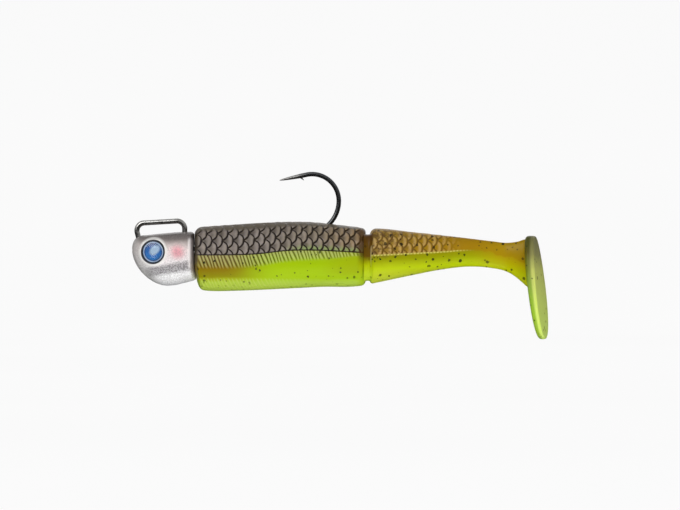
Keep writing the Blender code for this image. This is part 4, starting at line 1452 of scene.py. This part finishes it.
@dataclass
class Hook:
    """Black hook with a ring eye, a wide round bend, a tapering point and one barb.

    Attributes:
        wire: radius of the wire, in millimetres.
        eye: radius of the ring's centreline.
        eye_wire: radius of the ring's wire.
        neck: where the shank leaves the level run behind the eye.
        bend_back: how far back the bend reaches at its outermost centreline.
        bend_level: height where the two arcs of the bend meet.
        lower: radius of the lower arc.
        upper: radius of the upper arc.
        point: the point.
        taper: length over which the wire thins to the point.
        ring_gap: half the opening of the ring, in degrees.
        barb_root: where the barb leaves the wire.
        barb_tip: its point.
        barb_wire: its radius at the root.
    """

    wire: float = 0.675
    eye: float = 1.55
    eye_wire: float = 0.6
    neck: float = 10.5
    bend_back: float = 51.4
    bend_level: float = 6.1
    lower: float = 9.5
    upper: float = 7.7
    point: Point = (34.3, 0.0, 12.0)
    taper: float = 6.5
    ring_gap: float = 14.0
    barb_root: Point = (40.0, 0.0, 13.2)
    barb_tip: Point = (41.35, 0.0, 12.0)
    barb_wire: float = 0.42

    def path(self) -> Array:
        """Centreline from inside the ring, along the shank, round two arcs and straight to the point.

        The shank is tangent to the lower arc and the last run is tangent to the upper one: each slope is
        the bearing of the arc's middle less or plus the arcsine of radius over distance.
        """
        level = joint_mm("head_swing")[2]
        neck = np.array([self.neck, 0.0, level])
        low = np.array([self.bend_back - self.lower, 0.0, self.bend_level])
        high = np.array([self.bend_back - self.upper, 0.0, self.bend_level])
        reach = low - neck
        slope = np.arctan2(reach[2], reach[0]) - np.arcsin(self.lower / np.hypot(reach[0], reach[2]))
        tip = np.array(self.point)
        back = high - tip
        last = np.arctan2(back[2], back[0]) + np.arcsin(self.upper / np.hypot(back[0], back[2]))
        start = np.array([joint_mm("head_swing")[0] + self.eye, 0.0, level])
        up = arc(low, self.lower, slope - TURN / 4, 0.0)
        over = arc(high, self.upper, 0.0, TURN / 4 + last)
        runs = [start[None], straight(start, neck), neck[None], straight(neck, up[0]), up, over[1:]]
        final = straight(over[-1], tip, 0.12)
        return np.concatenate([*runs, final, tip[None]])

    def surfaces(self) -> list[Surface]:
        """The bent wire, its ring and its barb, each closed."""
        path = self.path()
        left = run_length(path[::-1])[::-1]
        radius = np.maximum(0.06, self.wire * np.sqrt(np.clip(left / self.taper, 0, 1)))
        shank = sweep("hook_wire", path, radius)
        shank.fields["left"] = np.repeat(left[:, None], shank.points.shape[1], axis=1)
        swing = joint_mm("head_swing")
        turn = np.linspace(np.radians(self.ring_gap), np.radians(360 - self.ring_gap), 90)
        loop = swing + self.eye * np.stack([np.cos(turn), np.sin(turn), 0 * turn], axis=1)
        ring = sweep("hook_eye", loop, np.full(len(loop), self.eye_wire), across=(0.0, 0.0, 1.0))
        share = np.linspace(0, 1, 14)[:, None]
        root, end = np.array(self.barb_root), np.array(self.barb_tip)
        spike = root + (end - root) * share + np.array([0.0, 0.0, 0.12]) * share * (1 - share)
        barb = sweep("hook_barb", spike, self.barb_wire - 0.36 * share[:, 0], columns=16)
        ring.fields["left"] = np.full(ring.points.shape[:2], 60.0)
        barb.fields["left"] = np.full(barb.points.shape[:2], 7.0)
        return [shank, ring, barb]

    def build(self) -> bpy.types.Object:
        """Make the hook as one object and tie it to the swinging body."""
        hook = joined("hook_plated", self.surfaces())
        BlackNickel().dress(hook)
        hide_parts("hook")
        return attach(hook, "front")


def joined(name: str, surfaces: Sequence[Surface]) -> bpy.types.Object:
    """Several closed surfaces as one object: each is built, then the first takes in the rest."""
    made = [surface.build() for surface in surfaces]
    with bpy.context.temp_override(active_object=made[0], selected_editable_objects=made):
        bpy.ops.object.join()
    made[0].name = name
    made[0].data.name = name
    return made[0]


def end_round(x: Array, face: float, radius: float, end: Back) -> Array:
    """Length lost beside an end face, r * (1 - quarter circle of the distance inside the face)."""
    return radius * (1 - quarter((x - face) * end.value, radius))


@dataclass
class SoftBody:
    """Soft plastic in four pieces: the front, the joint's web, the tail with its neck, and the paddle.

    Lengths are in millimetres.

    Attributes:
        lines: outlines seen from above and from the side.
        front: where the front face stands.
        face_round: radius of the front face seen from above.
        front_round: roundings of the front face's edge at the back and the belly.
        rear_round: roundings before the groove at the sides, the back and the belly.
        tail_round: the same behind the groove.
        gap: width of the joint's groove.
        kick_rest: how far the paddle is turned at rest, in degrees.
        kick_reach: half the length of neck that bends.
        stem: how far behind the kick axis the tail's stem ends, inside the paddle.
        paddle_top: highest point of the paddle.
        paddle_bottom: its lowest point.
        paddle_half: its half width before it is made egg-shaped.
        egg: share by which it widens below and narrows above.
        thickness: thickness of the paddle by height.
        paddle_back: distance of its back face from the kick axis at the height of -8.
        tilt: how far it runs back for each millimetre down.
    """

    lines: BodyLines = field(default_factory=BodyLines)
    front: float = 9.8
    face_round: float = 20.0
    front_round: tuple[float, float] = (1.9, 2.5)
    rear_round: Point = (2.5, 1.2, 1.3)
    tail_round: Point = (1.4, 1.9, 1.0)
    gap: float = 1.2
    kick_rest: float = -16.0
    kick_reach: float = 3.0
    stem: float = 7.9
    paddle_top: float = -4.0
    paddle_bottom: float = -33.75
    paddle_half: float = 7.3
    egg: float = 0.18
    thickness: Knots = ((-34, 2.0), (-26, 2.3), (-18, 2.6), (-11, 2.9), (-4, 3.0))
    paddle_back: float = 9.35
    tilt: float = 0.102

    def front_grid(self) -> Array:
        """Sections of the front piece: the outlines, less the roundings of its two ends."""
        rear = joint_mm("tail_joint")[0] - self.gap / 2
        half = np.linspace(0.05, 6.3, 40)
        face = self.front + self.face_round - np.sqrt(self.face_round**2 - half**2)
        side_round, back_round, belly_round = self.rear_round
        close = rear - side_round * (1 - np.sin(np.linspace(0, TURN / 4, 26)))
        x = np.concatenate([face, np.linspace(face[-1], close[0], 306)[1:-1], close])
        reach = np.clip(self.front + self.face_round - x, 0, self.face_round)
        round_face = np.sqrt(self.face_round**2 - reach**2)
        width = np.minimum(smooth_curve(self.lines.widths, x), round_face)
        width -= end_round(x, rear, side_round, Back.REAR)
        top = smooth_curve(self.lines.back, x) - end_round(x, self.front, self.front_round[0], Back.FRONT)
        top -= end_round(x, rear, back_round, Back.REAR)
        bottom = smooth_curve(self.lines.belly, x) + end_round(x, self.front, self.front_round[1], Back.FRONT)
        bottom += end_round(x, rear, belly_round, Back.REAR)
        points = section_grid(x, width, top, bottom, smooth_curve(self.lines.widest, x), 250)
        points[..., 0] += face_lean(points[..., 0], points[..., 2])
        return capped(points)

    def build_front(self) -> bpy.types.Object:
        """Front piece with raised scales, ribs under them and fine ribs on the belly's front."""
        points = self.front_grid()
        x, _, z = np.moveaxis(points, -1, 0)
        v = up_the_flank(points, lambda at: smooth_curve(BAND_EDGE, at))
        rear = joint_mm("tail_joint")[0] - self.gap / 2
        ends = ease(self.front + 0.5, self.front + 2.0, x) * fall(rear - 2.4, rear - 1.0, x)
        a, covered, _ = SCALES.read(ArrayMaths, x, v)
        tile = 0.2 * fall(0.0, 3.0, a) - 0.2 * fall(0.1, 0.55, a)
        rib = RIBS.read(ArrayMaths, x, v)
        zone = RIBS.zone(ArrayMaths, v, smooth_curve(RIB_LENGTH, x)) * ends
        low = ends * fall(26.0, 48.0, x) * fall(-16.6, -16.0, z) * ease(-19.6, -18.6, z)
        relief = ends * covered * tile + 0.13 * zone * (rib - 0.4) + 0.04 * low * rib
        points = points + relief[..., None] * outward(points)
        form = Surface("front_skin", points, {"flank": v, "ribs": zone, "low_ribs": low})
        skin = form.build()
        FrontPlastic().dress(skin)
        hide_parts("front_body")
        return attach(skin, "front")

    def build_web(self) -> bpy.types.Object:
        """Web that bridges the groove: upright superellipses that widen towards both pieces."""
        axis = joint_mm("tail_joint")[0]
        low, high = box_mm("joint_web")
        x = np.linspace(axis - self.gap, axis + self.gap, 25)
        flare = ((x - axis) / self.gap) ** 2
        half = 5.0 + 0.8 * flare
        turn = np.linspace(0, TURN, 72, endpoint=False)
        across = signed_power(np.cos(turn), 0.5)
        up = signed_power(np.sin(turn), 0.5)
        middle, tall = (low[2] + high[2]) / 2, (high[2] - low[2]) / 2
        z = middle + up * (tall + 0.4 * flare)[:, None]
        y = across * half[:, None]
        points = np.stack([np.broadcast_to(x[:, None], y.shape), y, z], axis=-1)
        web = Surface("web_skin", capped(points)).build()
        WebPlastic().dress(web)
        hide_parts("joint_web")
        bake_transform(web)
        return web

    def kicked(self, points: Array) -> Array:
        """Turn points about the kick axis by their share of the rest angle, smoothly over the neck."""
        axis = joint_mm("paddle_kick")
        share = ease(axis[0] - self.kick_reach, axis[0] + self.kick_reach, points[..., 0])
        angle = np.radians(self.kick_rest) * share
        x, y = points[..., 0] - axis[0], points[..., 1]
        turned_x = x * np.cos(angle) - y * np.sin(angle)
        turned_y = x * np.sin(angle) + y * np.cos(angle)
        return np.stack([turned_x + axis[0], turned_y, points[..., 2]], axis=-1)

    def build_tail(self) -> bpy.types.Object:
        """Tail from the groove to the paddle, with faint scales over a moulded lateral line."""
        start = joint_mm("tail_joint")[0] + self.gap / 2
        kick = joint_mm("paddle_kick")[0]
        opening = start + 2.0 * (1 - np.cos(np.linspace(0.05, TURN / 4, 26)))
        stem = np.linspace(kick - self.kick_reach, kick + self.stem, 96)
        x = np.concatenate([opening, np.linspace(opening[-1], stem[0], 230)[1:-1], stem])
        side_round, back_round, belly_round = self.tail_round
        width = smooth_curve(self.lines.widths, x) - end_round(x, start, side_round, Back.FRONT)
        top = smooth_curve(self.lines.back, x) - end_round(x, start, back_round, Back.FRONT) * 1.05
        bottom = smooth_curve(self.lines.belly, x) + end_round(x, start, belly_round, Back.FRONT)
        points = capped(section_grid(x, width, top, bottom, smooth_curve(self.lines.widest, x), 236))
        tilted = ease(kick + self.kick_reach, kick + self.stem, points[..., 0])
        points[..., 0] -= self.tilt * (points[..., 2] + 13.0) * tilted
        x = points[..., 0]
        v = up_the_flank(points, lambda at: smooth_curve(LATERAL, at))
        a, covered, _ = TAIL_SCALES.read(ArrayMaths, x, v)
        begin = ease(start + 0.8, start + 2.0, x)
        fade = begin * fall(*TAIL_SCALES_END, x)
        tile = 0.12 * fall(0.0, 2.2, a) - 0.12 * fall(0.05, 0.5, a)
        ridge = 0.1 * np.exp(-((v / 0.22) ** 2)) * begin * fall(*LATERAL_END, x)
        points = points + (fade * covered * tile + ridge)[..., None] * outward(points)
        form = Surface("tail_skin", self.kicked(points), {"flank": v})
        form.rest = points
        skin = form.build()
        TailPlastic().dress(skin)
        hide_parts("tail_section")
        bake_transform(skin)
        return skin

    def paddle_grid(self) -> tuple[Array, Array]:
        """The paddle, in its own straight frame.

        Its outline is an egg: across = half * sin(a)**0.95 * (1 - egg * cos a), up = cos a. Rows run over the
        front face, round a superellipse rim of power 3, softer in front, and back over the rear face.

        Returns:
            The points, and how far each lies through the thickness, from 0 in front to 1 behind.
        """
        middle, tall = (self.paddle_top + self.paddle_bottom) / 2, (self.paddle_top - self.paddle_bottom) / 2
        turn = np.linspace(0, TURN, 200, endpoint=False)
        side = signed_power(np.sin(turn), 0.95)
        outline = np.stack([self.paddle_half * side * (1 - self.egg * np.cos(turn)), tall * np.cos(turn)], 1)
        slope = np.roll(outline, -1, 0) - np.roll(outline, 1, 0)
        inwards = np.stack([slope[:, 1], -slope[:, 0]], 1) / np.linalg.norm(slope, axis=1)[:, None]
        inwards *= -np.sign((inwards * outline).sum(1))[:, None]
        swing = np.linspace(-TURN / 4, TURN / 4, 25)
        soften = np.where(swing < 0, 1.5, 0.5)
        inset = soften * (1 - np.abs(np.cos(swing)) ** (2 / 3))
        rim_height = signed_power(np.sin(swing), 2 / 3)
        rim = outline[None] + inset[:, None, None] * inwards[None]
        share = np.linspace(0.03, 0.97, 24)[:, None, None]
        flat = np.concatenate([rim[0] * share, rim, (rim[-1] * share)[::-1]])
        dome = 1 - share[:, 0, 0] ** 2
        height = np.concatenate([-1 - 0.05 * dome, rim_height, (1 + 0.25 * dome)[::-1]])
        z = middle + flat[..., 1]
        thick = smooth_curve(self.thickness, z)
        x = self.paddle_back - 8 * self.tilt - self.tilt * z + thick / 2 * (height[:, None] - 1)
        behind = np.broadcast_to((height / 2 + 0.5)[:, None], z.shape)
        return np.stack([x + joint_mm("paddle_kick")[0], flat[..., 0], z], axis=-1), behind

    def build_paddle(self) -> bpy.types.Object:
        """Paddle turned to its rest angle about the kick axis."""
        points, behind = self.paddle_grid()
        form = Surface("paddle_skin", self.kicked(points), {"behind": behind})
        form.rest = points
        paddle = form.build()
        PaddlePlastic().dress(paddle)
        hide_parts("paddle_tail")
        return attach(paddle, "paddle")

    def build(self) -> list[bpy.types.Object]:
        """Make the four soft pieces."""
        return [self.build_front(), self.build_web(), self.build_tail(), self.build_paddle()]


# ---------------------------------------------------------------- studio


@dataclass
class Studio:
    """Pale floor and back, soft lamps and the camera.

    Attributes:
        lens: focal length, in millimetres.
        sensor: width of the sensor, in millimetres.
        span: width that the picture covers at the bait, in metres.
        drop: how far the floor lies below the bait's lowest point, in metres.
    """

    lens: float = 135.0
    sensor: float = 36.0
    span: float = 0.1962
    drop: float = 0.09

    def middle(self) -> Array:
        """Middle of the picture: the middle of the bait, moved a little up."""
        low, high = np.array(FRAME_BOX[0]), np.array(FRAME_BOX[1])
        return np.array([(low[0] + high[0]) / 2, 0.0, (low[2] + high[2]) / 2 + 0.0001])

    def camera(self) -> None:
        """Level camera square to the bait's left side, far enough away for almost no perspective."""
        data = bpy.data.cameras.new("side_camera")
        data.lens = self.lens
        data.sensor_width = self.sensor
        data.clip_end = 50
        camera = placed("side_camera", data)
        x, _, z = self.middle()
        camera.location = (x, -self.span * self.lens / self.sensor, z)
        camera.rotation_euler = (TURN / 4, 0, 0)
        bpy.context.scene.camera = camera

    def lamp(self, name: str, offset: Point, size: float, power: float, shiny: bool = True) -> None:
        """Square area lamp that faces the bait's middle.

        Args:
            name: name of the lamp.
            offset: its place from the bait's middle, in metres.
            size: width of the square.
            power: its power, in watts.
            shiny: whether glossy surfaces show it.
        """
        data = bpy.data.lights.new(name, "AREA")
        data.size = size
        data.energy = power
        lamp = placed(name, data)
        lamp.location = self.middle() + np.array(offset)
        lamp.visible_glossy = shiny
        x, y, z = offset
        lamp.rotation_euler = (np.arctan2(np.hypot(x, y), z), 0, np.arctan2(x, -y))

    def sweep_floor(self) -> None:
        """Bowl of revolution: a wide flat floor that curves up into a wall on every side."""
        level = FRAME_BOX[0][2] - self.drop
        turn = np.linspace(0, TURN, 96, endpoint=False)
        bend = np.linspace(0, TURN / 4, 16)
        flat, curve, wall = 3.0, 1.5, 6.0
        radius = np.concatenate([[1e-6, 1.0, 2.0], flat + curve * np.sin(bend), [flat + curve]])
        height = np.concatenate([[0, 0, 0], curve * (1 - np.cos(bend)), [wall]])
        x = radius[:, None] * np.cos(turn)
        y = radius[:, None] * np.sin(turn)
        points = np.stack([x, y, np.broadcast_to(height[:, None] + level, x.shape)], axis=-1)
        mesh = bpy.data.meshes.new("pale_floor")
        mesh.from_pydata(points.reshape(-1, 3).tolist(), [], grid_quads(*x.shape).tolist())
        mesh.shade_smooth()
        floor = placed("pale_floor", mesh)
        shader = Shader("pale_floor")
        place = shader.node("ShaderNodeTexCoord").outputs["Object"]
        tone = shader.noise(place, 2.0)
        colour = shader.mix(srgb(250, 250, 250), srgb(248, 248, 248), tone)
        mesh.materials.append(shader.close(shader.principled(
            Base_Color=(0.02, 0.02, 0.02), Roughness=1.0, Emission_Color=colour, Emission_Strength=1.0,
            Specular_IOR_Level=0.0,
        )))
        floor.visible_diffuse = False
        floor.visible_glossy = False
        floor.visible_shadow = False

    def sky(self) -> None:
        """Soft light from every side, bright above and dim below, by the height of the direction."""
        world = bpy.data.worlds.new("studio")
        bpy.context.scene.world = world
        world.use_nodes = True
        tree = world.node_tree
        place = tree.nodes.new("ShaderNodeTexCoord")
        parts = tree.nodes.new("ShaderNodeSeparateXYZ")
        ramp = tree.nodes.new("ShaderNodeValToRGB")
        half = tree.nodes.new("ShaderNodeMath")
        half.operation = "MULTIPLY_ADD"
        half.inputs[1].default_value = 0.5
        half.inputs[2].default_value = 0.5
        tree.links.new(place.outputs["Generated"], parts.inputs[0])
        tree.links.new(parts.outputs[2], half.inputs[0])
        tree.links.new(half.outputs[0], ramp.inputs[0])
        tree.links.new(ramp.outputs[0], tree.nodes["Background"].inputs["Color"])
        stops = ramp.color_ramp.elements
        stops[0].position, stops[0].color = 0.50, (0.05, 0.05, 0.05, 1)
        stops[1].position, stops[1].color = 0.64, (0.90, 0.90, 0.90, 1)
        tree.nodes["Background"].inputs["Strength"].default_value = 0.55

    def build(self) -> None:
        """Set up everything that is not part of the bait."""
        self.camera()
        self.sweep_floor()
        self.sky()
        self.lamp("key_lamp", (-0.30, -0.50, 0.35), 0.40, 1.7)
        self.lamp("front_lamp", (0.05, -0.75, 0.02), 0.80, 0.8, shiny=False)
        self.lamp("low_lamp", (0.05, -0.45, -0.45), 0.60, 3.8, shiny=False)
        self.lamp("tail_lamp", (0.65, -0.30, 0.00), 0.50, 1.6, shiny=False)
        self.lamp("back_lamp", (0.10, 0.55, 0.30), 0.50, 0.7)
        bpy.context.scene.view_settings.view_transform = "Standard"


def main() -> None:
    """Build the studio and every piece."""
    logging.basicConfig(level=logging.INFO, format="%(message)s")
    Studio().build()
    head = Head()
    makers = [("head", head.build), ("line tie", LineTie().build), ("hook", Hook().build)]
    makers += [("soft body", SoftBody().build)]
    makers += [(side.name.lower() + " eye", Eye(head, side).build) for side in Side]
    for name, make in makers:
        make()
        log.info("built the %s", name)
    MouldedKeeper().dress(frame["nodes"]["bait_keeper"])


if __name__ == "__main__":
    main()
